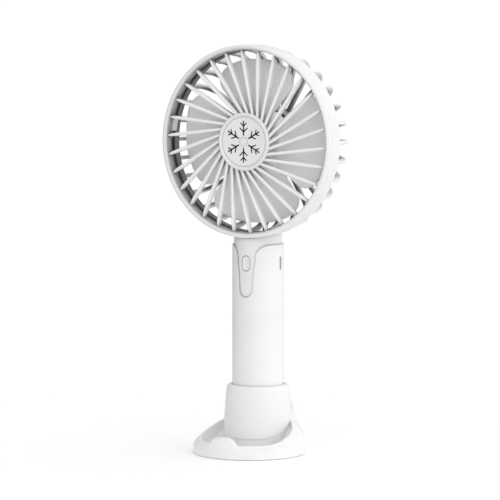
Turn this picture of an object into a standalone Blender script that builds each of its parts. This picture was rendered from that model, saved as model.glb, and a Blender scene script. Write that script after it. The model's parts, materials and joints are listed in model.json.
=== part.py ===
"""A handheld electric fan standing in its desk dock, built as an assembly of separate pieces.

The origin is on the handle's axis, on the surface that the dock stands on. The fan blows
towards -Y, +X is to the right of a person facing it, and +Z is up.
Sizes are in millimetres; the helpers turn them into metres.
"""

import math

import bmesh
import bpy
from mathutils import Matrix, Vector

MM = 0.001
ROUND = 48          # steps in a full turn of the large round pieces
SMALL_ROUND = 20    # steps in a full turn of the small round pieces
GAP = 0.3           # clearance between neighbouring pieces

# Head: depth runs backwards from the front face of the front ring
HEAD_HEIGHT = 170.7
FRONT_FACE_Y = -15.7
HEAD_RADIUS = 52.5
HEAD_DEPTH = 35.0
RING_DEPTH = 3.4            # outer lip of the front ring
RING_OPENING = 50.0
SHROUD_BACK = 13.4
SHROUD_BORE = 51.1
FLANGE_BORE = 49.95
FLANGE_DEPTHS = (6.3, 7.5)
LUG_ANGLES = (40.0, 160.0, 280.0)
TWIST_DEGREES = 15.0        # front grille's turn from locked to its notches

# Front ring and hub, as (radius, height) in front of the head's front face
RING_CREST = ((51.5, 0.0), (52.2, -0.3), (HEAD_RADIUS, -1.0))
RING_THROAT = ((49.3, -5.6), (49.5, -4.4), (RING_OPENING, -1.2), (50.6, -0.2))
RING_PLUG_BACK = -5.6
LUG_HOOK = ((48.4, -4.6), (48.4, -8.9), (50.6, -8.9), (50.6, -7.9), (49.6, -7.9), (49.6, -4.6))
LUG_HALF_WIDTH = 3.5
LUG_NOTCH = (9.4, 2.3, 2.0)
LUG_NOTCH_RADIUS = 49.7
HUB_RIM = ((14.4, 0.9), (15.2, 0.9))
HUB_RIM_FOOT = 0.3
HUB_BED = (-1.2, -2.4)          # front and back of the plate behind the badge
HUB_SKIRT = (14.6, -4.6)

# Front spokes: straight, slanted so that they run past the hub's centre
SPOKE_COUNT = 30
SPOKE_WIDTH = 1.8
SPOKE_DEPTH = 2.8
SPOKE_TWIST = 23.0          # degrees from the rim end to the hub end
FIRST_SPOKE = 8.75          # degrees clockwise from the top, at the rim
SPOKE_OVERLAP = (0.6, 0.2)  # how far the bars run into the hub and the ring
# Section in shares of the width and depth, from the back left corner
SPOKE_SECTION = ((-0.5, -1.0), (0.5, -1.0), (0.5, -0.2), (0.25, 0.0), (-0.25, 0.0), (-0.5, -0.2))
# Place along the bar, shares of its width and depth, and the height of its front
SPOKE_STATIONS = ((0.0, 1.0, 1.0, -0.3), (0.8, 1.0, 1.0, -0.7), (1.0, 0.7, 0.7, -1.6))
HUB_RADIUS = 15.8
BADGE_RADIUS = 13.5
BADGE_FACE = ((0.0, 0.0), (12.4, 0.2), (13.1, 0.3), (13.5, 0.0))
BADGE_BACK = -0.9

# Snowflake engraved in the badge
FLAKE_GROOVE = 0.75
FLAKE_DEPTH = 0.5
FLAKE_ARM = (3.9, 11.3)
FLAKE_FORKS = ((6.0, 2.6), (8.9, 2.3))     # distance from the centre, branch length
FLAKE_FORK_ANGLE = 52.0
FLAKE_FORK_GROOVE = 0.675
FLAKE_HEXAGON = 2.7
FLAKE_HEXAGON_GROOVE = 0.35

# Impeller and motor
BLADE_COUNT = 4
BLADE_TIP = 44.7
BLADE_ROOT = 17.0
BLADE_HALF_ANGLE = 40.0
BLADE_MID_DEPTH = 14.0
BLADE_RISE = (4.6, 3.3)     # half the pitch depth at the root and at the tip
BLADE_THICKNESS = 1.2
BLADE_CORNER = 9.0
IMPELLER_HUB = 17.5
IMPELLER_FRONT = 10.8
IMPELLER_BACK = 22.5
IMPELLER_NOSE = ((15.3, 0.0), (16.8, -0.5))     # its rounded front edge, behind IMPELLER_FRONT
IMPELLER_WALL = 1.8
IMPELLER_BORE = 16.2
BOSS = (3.0, 15.0)          # radius, and depth of its back
SHAFT_RADIUS = 0.9
SHAFT_DEPTHS = (12.9, 25.2)
YOKE = (15.2, 15.9, 13.0, 22.0)         # bore, radius, front depth, back depth
MAGNET = (13.6, 14.9, 13.6, 21.6)
BEARING_TUBE = ((3.4, -15.6), (3.4, -25.7), (5.2, -25.7), (5.2, -26.3), (2.6, -26.3), (2.6, -15.6))
BEARING_RADIUS = 2.3
BEARING_DEPTHS = ((16.2, 18.7), (21.3, 23.8))
STATOR_DEPTHS = (15.5, 20.5)
STATOR_RING = (3.7, 5.8)
TOOTH_HALF_WIDTH = 1.1
TOOTH_REACH = (5.0, 11.0)
SHOE_RADII = (11.3, 13.1)
SHOE_HALF_ANGLE = 22.0
COIL_COUNT = 6
COIL_OUTSIDE = (2.6, 3.6)   # half its width and depth
COIL_INSIDE = (1.4, 2.8)
COIL_REACH = (6.8, 10.6)
COIL_DEPTH = 18.0
MOTOR_BOARD = (3.8, 12.6, 22.4, 23.2)

# Rear grille
RIB_COUNT = 30
RIB_THICKNESS = 2.0
RIB_SECTION = 3.4
RIB_SHOULDER = (38.0, 16.5)     # centre of the shoulder's quarter ellipse
RIB_TIP = 52.0
RIB_FOOT = 17.4             # radius where the ribs end, inside the motor seat's wall
REAR_HUB = 18.5
SPIGOT_BORE = 49.2          # inside of the ring that plugs into the shroud
SPIGOT_FRONT = 9.3
SEAT_BORES = (3.7, 16.6)    # round the bearing tube, and inside the seat's wall
SEAT_DEPTHS = (24.0, 24.5, 25.4)
LEAD_HOLE = (1.8, 28.2)     # radius and depth
CAP_RADIUS = 16.3
CAP_THICKNESS = 2.0

# Handle
NECK_RADIUS = 13.2
NECK_TOP = 130.0                # inside the head's clearance, which trims it
CORE_RADIUS = 12.3
CORE_BORE = 10.8
SLEEVE_RADIUS = 14.2
SLEEVE_BORE = 12.6
SLEEVE_BOTTOM = 14.5
SLEEVE_TOP = 114.4
HANDLE_BOTTOM = 12.5
HANDLE_STEPS = 40           # steps in a full turn of the core and the end cap
SHROUD_OVERLAP = 1.7        # how far the neck runs past the shroud's back
LEAD_WAY = (1.9, 6.2)       # radius, and distance behind the handle's axis
LEAD_RADIUS = 0.5
LEAD_SIDE = 0.75            # distance to either side of the handle's axis
# Routes as (y, drop): the upper part below the head's axis, the lower part below the sleeve's top
LEAD_UPPER = ((11.6, 9.0), (12.4, 12.0), (12.5, 18.0), (12.4, 28.0), (12.2, 36.0), (10.8, 43.0), (7.6, 48.0),
              (6.2, 52.4))
LEAD_LOWER = ((6.0, 0.0), (5.2, 3.0), (4.0, 4.6))
END_PLUG = 1.9
BUTTON_HEIGHT = 104.3
BUTTON_SIZE = (5.0, 9.2)
BUTTON_FACE_Y = -13.4
BUTTON_DEPTHS = (-3.7, 0.0)
BUTTON_FLANGE = (2.2, -4.5, -3.5)       # how much larger than the cap, and its back and front
BUTTON_STEM = (1.4, -10.1, -4.0)
PLUNGER = (1.5, -12.3, -10.4)
SOCKET_HEIGHT = 104.1
SOCKET_SLOT = (2.6, 7.6)
SOCKET_CUTTER = (10.0, 13.0)    # its length along X and its centre
USB_SHELL = (7.4, 2.0, 7.0)
USB_MOUTH = (6.8, 1.4, 6.4)
USB_TONGUE = (4.8, 0.5, 4.4)
TONGUE_GAP = 0.5
TONGUE_BOTTOM = 85.6
TONGUE_RADIUS = 4.3
TONGUE_SIDES = ((4.9, 12.4), (5.8, 19.4))       # half widths, by height above the tongue's end
TONGUE_FLARE = (13.6, 108.2)    # centre of the arcs that flare the cut-out's top
TONGUE_FLARE_WIDTH = 7.6
CUTOUT_SIDE = 18.0
CUTOUT_REACH = (2.0, 18.0)      # in front of the handle's axis
BOARD_Y = (1.6, 2.4)
BOARD_SIZE = (16.4, 21.0)
CHIP_SIZE = (4.0, 1.4, 4.0)
INDUCTOR_SIZE = (4.6, 3.0, 4.6)
SWITCH_SIZE = (6.0, 3.0, 6.0)
CELL_RADIUS = 9.1
CELL_HEIGHTS = (21.5, 86.5)
CONTACT_SIZE = (8.0, 6.0, 0.5)
SPRING_RADII = (6.0, 3.5)
SPRING_DROP = (4.6, 0.8)        # below the cell, at the spring's foot and top
SPRING_WIRE = 0.4

# Dock
FOOT_CENTRE_Y = -8.65
FOOT_RADIUS = 31.4
FOOT_BOTTOM = 0.3
HILL_BACK = 35.8                # the front stop's flat back, ahead of the handle's axis
# Upright wall's top edge, by place along Y: its height, and how far it has leaned inwards
WALL_TOP = ((-40.1, 3.8, 0.1), (-32.0, 4.3, 0.15), (-24.5, 5.1, 0.3), (-16.5, 6.3, 0.7), (-6.5, 8.0, 1.3),
            (7.0, 9.0, 1.7), (22.8, 9.6, 1.9))
RIM_CENTRE_Y = -12.5
RIM_HALF = (26.3, 24.1)         # half the rim's width and length
# Height of the rim, by place along Y
RIM_HEIGHT = ((-36.7, 7.4), (-25.3, 7.5), (-18.0, 9.1), (-12.0, 10.9), (-6.0, 13.0), (0.0, 15.6), (6.0, 19.0),
              (10.0, 25.5), (14.0, 29.0), (20.1, 30.0))
RIM_BACK_RADIUS = 18.7          # behind the cup the rim follows it at this radius
SKIRT_BULGE = 1.9
BULGE_PLACE = (-20.0, 25.0)     # where along Y the bulge starts, and over what length it grows
RIM_WALL = 0.5
TROUGH_FLOOR = 3.4
TROUGH_FOOT = 1.2               # inset of the trough's floor from the rim
HILL_SIDE = ((13.0, 2.6), (11.6, 3.6), (10.4, 4.8), (7.8, 7.7), (6.2, 9.5), (5.2, 10.5), (3.9, 11.4),
             (2.4, 11.8))
CUP_BORE = 14.6
CUP_TOP = 37.0
CUP_SIDE = ((17.5, 33.4), (18.1, 27.0), (18.6, 18.5), (18.95, 12.6), (19.1, 8.7))
CUP_EDGE_FRONT = 8.7        # height of the cup's lower edge in front
CUP_EDGE_Y = -13.0
CUP_EDGE_SLOPE = 0.45
CUP_BASE_RADIUS = 16.4
CUP_BASE_TOP = 30.0
CUP_FLOOR = 12.1
CUP_SHOULDER = ((1.7, 0.0), (1.0, 0.5), (0.4, 1.8))     # inset and drop of its rounded top edge
PAD_RADIUS = 28.0
PAD_THICKNESS = 0.6
COVER_RADIUS = 28.8
COVER_HEIGHTS = (0.8, 1.8)
SCREW_ANGLES = (0.0, 120.0, 240.0)
SCREW_CIRCLE = 9.0
SCREW_RADII = (1.1, 2.0)
SCREW_HEIGHTS = (0.9, 2.4, 9.7)     # head's face, head's seat and tip
SCREW_STEPS = 16

FAR_UP = 60.0       # cutters run this high
FAR_DOWN = -1.0     # and this low
FAR_OUT = 30.0      # and this wide

COLOURS = {
    "white_plastic": ((0.86, 0.86, 0.86), 0.38, 0.0),
    "impeller_plastic": ((0.72, 0.73, 0.74), 0.42, 0.0),
    "badge_plastic": ((0.84, 0.84, 0.84), 0.3, 0.0),
    "rubber": ((0.62, 0.62, 0.62), 0.85, 0.0),
    "steel": ((0.62, 0.63, 0.65), 0.3, 1.0),
    "brass": ((0.78, 0.6, 0.3), 0.35, 1.0),
    "magnet": ((0.12, 0.12, 0.13), 0.6, 0.2),
    "copper": ((0.72, 0.38, 0.2), 0.35, 1.0),
    "circuit_board": ((0.08, 0.3, 0.16), 0.5, 0.0),
    "black_plastic": ((0.04, 0.04, 0.045), 0.5, 0.0),
    "cell_wrap": ((0.16, 0.34, 0.62), 0.35, 0.0),
    "red_insulation": ((0.7, 0.06, 0.05), 0.5, 0.0),
    "black_insulation": ((0.05, 0.05, 0.05), 0.5, 0.0),
}


def clear_scene():
    for obj in list(bpy.data.objects):
        bpy.data.objects.remove(obj, do_unlink=True)


def collection(name):
    made = bpy.data.collections.new(name)
    bpy.context.scene.collection.children.link(made)
    return made


def material(name):
    if name in bpy.data.materials:
        return bpy.data.materials[name]
    colour, roughness, metallic = COLOURS[name]
    made = bpy.data.materials.new(name)
    made.use_nodes = True
    shader = made.node_tree.nodes["Principled BSDF"]
    shader.inputs["Base Color"].default_value = (*colour, 1.0)
    shader.inputs["Roughness"].default_value = roughness
    shader.inputs["Metallic"].default_value = metallic
    return made


def add(name, mesh, finish, parent=None):
    """Put a mesh in the scene: a part when it has a finish, a cutter when it has none."""
    obj = bpy.data.objects.new(name, mesh)
    obj.parent = parent
    if finish is None:
        CUTTERS.objects.link(obj)
        obj.hide_render = True
        obj.display_type = "WIRE"
    else:
        PARTS.objects.link(obj)
        mesh.materials.append(material(finish))
    return obj


def finished(name, bm, finish, parent=None):
    mesh = bpy.data.meshes.new(name)
    bm.to_mesh(mesh)
    bm.free()
    return add(name, mesh, finish, parent)


def turned(name, profile, finish, parent=None, steps=ROUND, closed=True):
    """Turn (radius, height) points about Z. An open profile starts and ends on the axis."""
    bm = bmesh.new()
    points = [bm.verts.new((radius * MM, 0.0, height * MM)) for radius, height in profile]
    for start, end in zip(points, points[1:]):
        bm.edges.new((start, end))
    if closed:
        bm.edges.new((points[-1], points[0]))
    obj = finished(name, bm, finish, parent)
    screw = obj.modifiers.new("turn", "SCREW")
    screw.steps = steps
    screw.render_steps = steps
    screw.use_merge_vertices = True
    screw.merge_threshold = 1e-6
    return obj


def block(name, size, centre, finish, parent=None, turn=0.0):
    """A box, which can be turned about Z after it has been placed."""
    bm = bmesh.new()
    bmesh.ops.create_cube(bm, size=1.0)
    bm.transform(Matrix.Diagonal([*(Vector(size) * MM), 1.0]))
    bm.transform(Matrix.Translation(Vector(centre) * MM))
    bm.transform(Matrix.Rotation(math.radians(turn), 4, "Z"))
    return finished(name, bm, finish, parent)


def rod(name, radius, start, end, finish, parent=None, steps=SMALL_ROUND):
    """A cylinder between two points."""
    start = Vector(start) * MM
    end = Vector(end) * MM
    bm = bmesh.new()
    bmesh.ops.create_cone(
        bm, cap_ends=True, segments=steps, radius1=radius * MM, radius2=radius * MM,
        depth=(end - start).length,
    )
    bm.transform((end - start).to_track_quat("Z", "Y").to_matrix().to_4x4())
    bm.transform(Matrix.Translation((start + end) / 2))
    return finished(name, bm, finish, parent)


def plate(name, outline, low, high, finish, parent=None, place=None):
    """A flat outline in XY, extruded from low to high along Z, then placed by a matrix."""
    curve = bpy.data.curves.new(name, "CURVE")
    curve.dimensions = "2D"
    curve.fill_mode = "BOTH"
    curve.extrude = (high - low) / 2 * MM
    spline = curve.splines.new("POLY")
    spline.points.add(len(outline) - 1)
    for point, (x, y) in zip(spline.points, outline):
        point.co = (x * MM, y * MM, 0.0, 1.0)
    spline.use_cyclic_u = True
    shift = Matrix.Translation((0.0, 0.0, (low + high) / 2 * MM))
    mesh = curve_mesh(name, curve)
    mesh.transform((place or Matrix.Identity(4)) @ shift)
    return add(name, mesh, finish, parent)


def curve_mesh(name, curve):
    """The closed mesh of a curve, with its caps welded on."""
    holder = bpy.data.objects.new(name + "_curve", curve)
    CUTTERS.objects.link(holder)
    bpy.context.view_layer.update()
    evaluated = holder.evaluated_get(bpy.context.evaluated_depsgraph_get())
    mesh = bpy.data.meshes.new_from_object(evaluated)
    mesh.materials.clear()
    bpy.data.objects.remove(holder, do_unlink=True)
    bm = bmesh.new()
    bm.from_mesh(mesh)
    bmesh.ops.remove_doubles(bm, verts=bm.verts, dist=1e-6)
    bmesh.ops.recalc_face_normals(bm, faces=bm.faces)
    bm.to_mesh(mesh)
    bm.free()
    return mesh


def wire(name, points, radius, finish):
    """A wire through the given points, smoothed by a Catmull-Rom curve."""
    curve = bpy.data.curves.new(name, "CURVE")
    curve.dimensions = "3D"
    curve.bevel_depth = radius * MM
    curve.bevel_resolution = 2
    curve.use_fill_caps = True
    route = smooth_route(points)
    spline = curve.splines.new("POLY")
    spline.points.add(len(route) - 1)
    for point, place in zip(spline.points, route):
        point.co = (*(place * MM), 1.0)
    return add(name, curve_mesh(name, curve), finish)


def smooth_route(points, between=2):
    points = [Vector(point) for point in points]
    ends = [2 * points[0] - points[1], *points, 2 * points[-1] - points[-2]]
    route = []
    for a, b, c, d in zip(ends, ends[1:], ends[2:], ends[3:]):
        for step in range(between):
            t = step / between
            route.append(0.5 * (2 * b + (c - a) * t + (2 * a - 5 * b + 4 * c - d) * t**2
                                + (3 * b - a - 3 * c + d) * t**3))
    return [*route, points[-1]]


def boolean(target, other, operation):
    modifier = target.modifiers.new(operation.lower(), "BOOLEAN")
    modifier.operation = operation
    modifier.object = other
    return modifier


def arc(centre, radii, start, end, count):
    """Points on an ellipse's arc, from one angle to another, in degrees."""
    angles = [math.radians(start + (end - start) * step / count) for step in range(count + 1)]
    return [(centre[0] + radii[0] * math.cos(a), centre[1] + radii[1] * math.sin(a)) for a in angles]


def pill(width, height, steps=8):
    """A stadium outline, centred on the origin, taller than it is wide."""
    radius = width / 2
    straight = height / 2 - radius
    top = arc((0.0, straight), (radius, radius), 0.0, 180.0, steps)
    bottom = arc((0.0, -straight), (radius, radius), 180.0, 360.0, steps)
    return top + bottom


def upright(height=0.0):
    """Turns an XY outline so that its Y is world Z and its Z is world -Y."""
    return Matrix.Translation((0.0, 0.0, height * MM)) @ Matrix.Rotation(math.radians(90), 4, "X")


def sideways():
    """Turns an XY outline so that its X is world Y and its Y is world Z."""
    return Matrix.Rotation(math.radians(90), 4, "Z") @ Matrix.Rotation(math.radians(90), 4, "X")


def clockwise(angle):
    """Turns a piece clockwise about the head's axis, seen from the front."""
    return Matrix.Rotation(-math.radians(angle), 4, "Z")


# ---------------------------------------------------------------- front grille

def front_grille():
    """Bezel ring, spokes and hub, with the bayonet's lugs behind the ring."""
    plug = SHROUD_BORE - GAP
    ring = turned("front_grille", [
        *RING_CREST, (HEAD_RADIUS, -RING_DEPTH), (plug, -RING_DEPTH), (plug, RING_PLUG_BACK), *RING_THROAT,
    ], "white_plastic", HEAD)
    bed_front, bed_back = HUB_BED
    recess = BADGE_RADIUS + GAP
    skirt, skirt_back = HUB_SKIRT
    hub = turned("grille_hub", [
        (0.0, bed_front), (recess, bed_front), (recess, 0.5), *HUB_RIM, (HUB_RADIUS, HUB_RIM_FOOT),
        (HUB_RADIUS, skirt_back), (skirt, skirt_back), (skirt, bed_back), (0.0, bed_back),
    ], None, HEAD, closed=False)
    boolean(ring, spokes(), "UNION")
    boolean(ring, hub, "UNION")
    for number, angle in enumerate(LUG_ANGLES, 1):
        boolean(ring, lug(number, angle), "UNION")


def spokes():
    """Thirty straight bars with rounded fronts, which taper towards the ring."""
    hub_overlap, rim_overlap = SPOKE_OVERLAP
    bm = bmesh.new()
    for number in range(SPOKE_COUNT):
        rim_angle = FIRST_SPOKE + 360.0 / SPOKE_COUNT * number
        hub_end = polar(HUB_RADIUS - hub_overlap, rim_angle + SPOKE_TWIST)
        rim_end = polar(RING_OPENING + rim_overlap, rim_angle)
        along = (rim_end - hub_end).normalized()
        across = Vector((-along.y, along.x, 0.0))
        rings = []
        for place, width, depth, front in SPOKE_STATIONS:
            middle = hub_end.lerp(rim_end, place)
            offsets = [across * x * SPOKE_WIDTH * width + Vector((0, 0, front + z * SPOKE_DEPTH * depth))
                       for x, z in SPOKE_SECTION]
            rings.append([bm.verts.new((middle + offset) * MM) for offset in offsets])
        loft(bm, rings)
    bmesh.ops.recalc_face_normals(bm, faces=bm.faces)
    return finished("grille_spokes", bm, None, HEAD)


def polar(radius, angle, depth=0.0):
    """A place in the head's frame: angle runs clockwise from the top, seen from the front."""
    turn = math.radians(angle)
    return Vector((radius * math.sin(turn), radius * math.cos(turn), -depth))


def loft(bm, rings, caps=True):
    """Join rings of equally many vertices with quads, and close both ends."""
    count = len(rings[0])
    for low, high in zip(rings, rings[1:]):
        for i in range(count):
            j = (i + 1) % count
            bm.faces.new((low[i], low[j], high[j], high[i]))
    if caps:
        bm.faces.new(list(reversed(rings[0])))
        bm.faces.new(rings[-1])


def lug(number, angle):
    """One bayonet lug: a leg past the shroud's flange, with a hook behind it."""
    place = clockwise(angle) @ sideways()
    return plate(f"grille_lug_{number}", LUG_HOOK, -LUG_HALF_WIDTH, LUG_HALF_WIDTH, None, HEAD, place)


def hub_badge():
    """A disc that sits in the hub, with a snowflake engraved in its face."""
    badge = turned("hub_badge", [
        *BADGE_FACE, (BADGE_RADIUS, BADGE_BACK), (0.0, BADGE_BACK),
    ], "badge_plastic", HEAD, closed=False)
    cut = boolean(badge, snowflake(), "DIFFERENCE")
    cut.use_self = True


def snowflake():
    """Cutter: six arms with two forks each, round an outlined hexagon."""
    bm = bmesh.new()
    middle = (FLAKE_ARM[0] + FLAKE_ARM[1]) / 2
    for number in range(6):
        arm = Matrix.Rotation(math.radians(60 * number), 4, "Z")
        groove(bm, FLAKE_ARM[1] - FLAKE_ARM[0], FLAKE_GROOVE, arm @ Matrix.Translation((0, middle * MM, 0)))
        for distance, length in FLAKE_FORKS:
            for side in (-1, 1):
                fork = Matrix.Rotation(math.radians(FLAKE_FORK_ANGLE * side), 4, "Z")
                reach = Matrix.Translation((0, length / 2 * MM, 0))
                start = Matrix.Translation((0, distance * MM, 0))
                groove(bm, length, FLAKE_FORK_GROOVE, arm @ start @ fork @ reach)
        edge = Matrix.Rotation(math.radians(60 * number + 30), 4, "Z")
        reach = FLAKE_HEXAGON * math.cos(math.radians(30))
        side = edge @ Matrix.Translation((0, reach * MM, 0)) @ Matrix.Rotation(math.radians(90), 4, "Z")
        groove(bm, FLAKE_HEXAGON, FLAKE_HEXAGON_GROOVE, side)
    return finished("badge_snowflake", bm, None, HEAD)


def groove(bm, length, width, place):
    """A slim box along Y, reaching from above the badge's face down to the groove's floor."""
    top = 1.0
    made = bmesh.ops.create_cube(bm, size=1.0)["verts"]
    shape = Matrix.Diagonal((width * MM, length * MM, (top + FLAKE_DEPTH) * MM, 1.0))
    shift = Matrix.Translation((0, 0, (top - FLAKE_DEPTH) / 2 * MM))
    bmesh.ops.transform(bm, matrix=place @ shift @ shape, verts=made)


# ---------------------------------------------------------------- impeller and motor

def impeller():
    """Cup-shaped hub round the motor, with a boss for the shaft and four blades."""
    front = -IMPELLER_FRONT
    inside = front - IMPELLER_WALL
    boss, boss_back = BOSS
    shaft = SHAFT_RADIUS + GAP
    hub = turned("impeller", [
        (0.0, front), *((radius, front + drop) for radius, drop in IMPELLER_NOSE), (IMPELLER_HUB, inside),
        (IMPELLER_HUB, -IMPELLER_BACK), (IMPELLER_BORE, -IMPELLER_BACK), (IMPELLER_BORE, inside),
        (boss, inside), (boss, -boss_back), (shaft, -boss_back), (shaft, inside), (0.0, inside),
    ], "impeller_plastic", HEAD, closed=False)
    boolean(hub, blades(), "UNION")


def blades():
    """Four pitched petals. Each starts as an open sheet that Solidify thickens."""
    along = 6
    across = 6
    bm = bmesh.new()
    for number in range(BLADE_COUNT):
        middle = 90.0 + 360.0 / BLADE_COUNT * number
        rows = []
        for i in range(along + 1):
            reach = i / along
            share = math.sin(reach * math.pi / 2)
            radius = BLADE_ROOT + (BLADE_TIP - BLADE_ROOT) * share
            rise = BLADE_RISE[0] + (BLADE_RISE[1] - BLADE_RISE[0]) * share
            row = []
            for j in range(across + 1):
                side = 2.0 * j / across - 1.0
                angle = middle + side * blade_half_angle(radius)
                row.append(bm.verts.new(polar(radius, angle, BLADE_MID_DEPTH - side * rise) * MM))
            rows.append(row)
        for low, high in zip(rows, rows[1:]):
            for j in range(across):
                bm.faces.new((low[j], high[j], high[j + 1], low[j + 1]))
    sheet = finished("impeller_blades", bm, None, HEAD)
    solid = sheet.modifiers.new("thickness", "SOLIDIFY")
    solid.thickness = BLADE_THICKNESS * MM
    solid.offset = 0.0
    return sheet


def blade_half_angle(radius):
    """Half the angle a blade covers at a radius, rounded off towards the tip."""
    start = BLADE_TIP - BLADE_CORNER
    if radius <= start:
        return BLADE_HALF_ANGLE
    into = (radius - start) / BLADE_CORNER
    corner = math.degrees(BLADE_CORNER / BLADE_TIP) * 1.2
    return BLADE_HALF_ANGLE - corner * (1.0 - math.sqrt(max(0.0, 1.0 - into**2)))


def sleeve_ring(name, bore, radius, front, back, finish, steps=SMALL_ROUND):
    """A plain ring about the head's axis, between two depths."""
    return turned(name, [(radius, -front), (radius, -back), (bore, -back), (bore, -front)],
                  finish, HEAD, steps)


def rotor():
    sleeve_ring("rotor_yoke", *YOKE, "steel", ROUND)
    sleeve_ring("rotor_magnet", *MAGNET, "magnet", ROUND)
    front, back = SHAFT_DEPTHS
    rod("motor_shaft", SHAFT_RADIUS, (0, 0, -front), (0, 0, -back), "steel", HEAD)


def bearings():
    turned("bearing_tube", BEARING_TUBE, "brass", HEAD, SMALL_ROUND)
    for name, (front, back) in zip(("bearing_front", "bearing_rear"), BEARING_DEPTHS):
        sleeve_ring(name, SHAFT_RADIUS + GAP, BEARING_RADIUS, front, back, "steel")


def stator():
    """A ring round the bearing tube with six teeth."""
    core = sleeve_ring("stator_core", *STATOR_RING, *STATOR_DEPTHS, "steel")
    bm = bmesh.new()
    for number in range(COIL_COUNT):
        tooth(bm, 360.0 / COIL_COUNT * number)
    bmesh.ops.recalc_face_normals(bm, faces=bm.faces)
    boolean(core, finished("stator_teeth", bm, None, HEAD), "UNION")


def tooth(bm, angle):
    """A straight leg with a curved shoe, as one extruded outline."""
    shoe = SHOE_HALF_ANGLE
    shoe_in, shoe_out = SHOE_RADII
    root, neck = TOOTH_REACH
    half = TOOTH_HALF_WIDTH
    face = [polar(shoe_out, t) for t in (-shoe, -shoe / 2, 0.0, shoe / 2, shoe)]
    outline = [Vector((-half, root, 0)), Vector((-half, neck, 0)), polar(shoe_in, -shoe), *face,
               polar(shoe_in, shoe), Vector((half, neck, 0)), Vector((half, root, 0))]
    rings = []
    for depth in STATOR_DEPTHS:
        rings.append([bm.verts.new(clockwise(angle) @ ((p - Vector((0, 0, depth))) * MM)) for p in outline])
    loft(bm, rings)


def coils():
    """Six windings, each a rectangular ring round its tooth."""
    near, far = COIL_REACH
    outer = rectangle(*COIL_OUTSIDE)
    inner = rectangle(*COIL_INSIDE)
    for number in range(COIL_COUNT):
        place = clockwise(360.0 / COIL_COUNT * number)
        bm = bmesh.new()
        rings = []
        for outline, reach in ((outer, near), (outer, far), (inner, far), (inner, near)):
            corners = [place @ (Vector((x, reach, z - COIL_DEPTH)) * MM) for x, z in outline]
            rings.append([bm.verts.new(corner) for corner in corners])
        loft(bm, [*rings, rings[0]], caps=False)
        bmesh.ops.recalc_face_normals(bm, faces=bm.faces)
        finished(f"coil_{number + 1}", bm, "copper", HEAD)


def rectangle(half_width, half_height):
    return [(-half_width, half_height), (-half_width, -half_height),
            (half_width, -half_height), (half_width, half_height)]


# ---------------------------------------------------------------- rear of the head

def rear_grille():
    """Spigot ring and motor seat, joined by ribs that wrap round the shoulder."""
    ring = sleeve_ring("rear_grille", SPIGOT_BORE, SHROUD_BORE - GAP, SPIGOT_FRONT, SHROUD_BACK,
                       "white_plastic", ROUND)
    bore, inside = SEAT_BORES
    front, shoulder, back = SEAT_DEPTHS
    end = -HEAD_DEPTH
    seat = turned("motor_seat", [
        (REAR_HUB - 0.5, -front), (REAR_HUB, -shoulder), (REAR_HUB, end + 0.4), (REAR_HUB - 0.4, end + 0.2),
        (inside, end + 0.2), (inside, -back), (bore, -back), (bore, -front),
    ], None, HEAD)
    radius, depth = LEAD_HOLE
    hole = rod("lead_hole", radius, (0, -12, -depth), (0, -21, -depth), None, HEAD)
    boolean(seat, hole, "DIFFERENCE")
    boolean(ring, ribs(), "UNION")
    boolean(ring, seat, "UNION")


def ribs():
    """Thirty flat bars, each one outline in the plane of the head's axis."""
    x, z = RIB_SHOULDER
    outer = arc((x, -z), (RIB_TIP - x, HEAD_DEPTH - z), 0.0, -90.0, 5)
    inner = arc((x, -z), (RIB_TIP - x - RIB_SECTION, HEAD_DEPTH - z - RIB_SECTION), -90.0, 0.0, 3)
    root = SHROUD_BORE - GAP - 0.1
    start = -SHROUD_BACK - GAP
    foot = [(RIB_FOOT, -HEAD_DEPTH), (RIB_FOOT, RIB_SECTION - HEAD_DEPTH)]
    outline = [(RIB_TIP, start), *outer, *foot, *inner,
               (SPIGOT_BORE + 0.2, 1.5 - SHROUD_BACK), (root, 1.5 - SHROUD_BACK), (root, start)]
    half = RIB_THICKNESS / 2
    bm = bmesh.new()
    for number in range(RIB_COUNT):
        turn = clockwise(360.0 / RIB_COUNT * number)
        rings = [[bm.verts.new(turn @ (Vector((r, side, depth)) * MM)) for r, depth in outline]
                 for side in (-half, half)]
        loft(bm, rings)
    bmesh.ops.recalc_face_normals(bm, faces=bm.faces)
    return finished("grille_ribs", bm, None, HEAD)


def rear_cap():
    back = -HEAD_DEPTH
    front = back + CAP_THICKNESS
    turned("rear_cap", [
        (0.0, front), (CAP_RADIUS, front), (CAP_RADIUS, back + 0.5), (CAP_RADIUS - 0.4, back), (0.0, back),
    ], "white_plastic", HEAD, closed=False)


# ---------------------------------------------------------------- housing and handle

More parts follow.
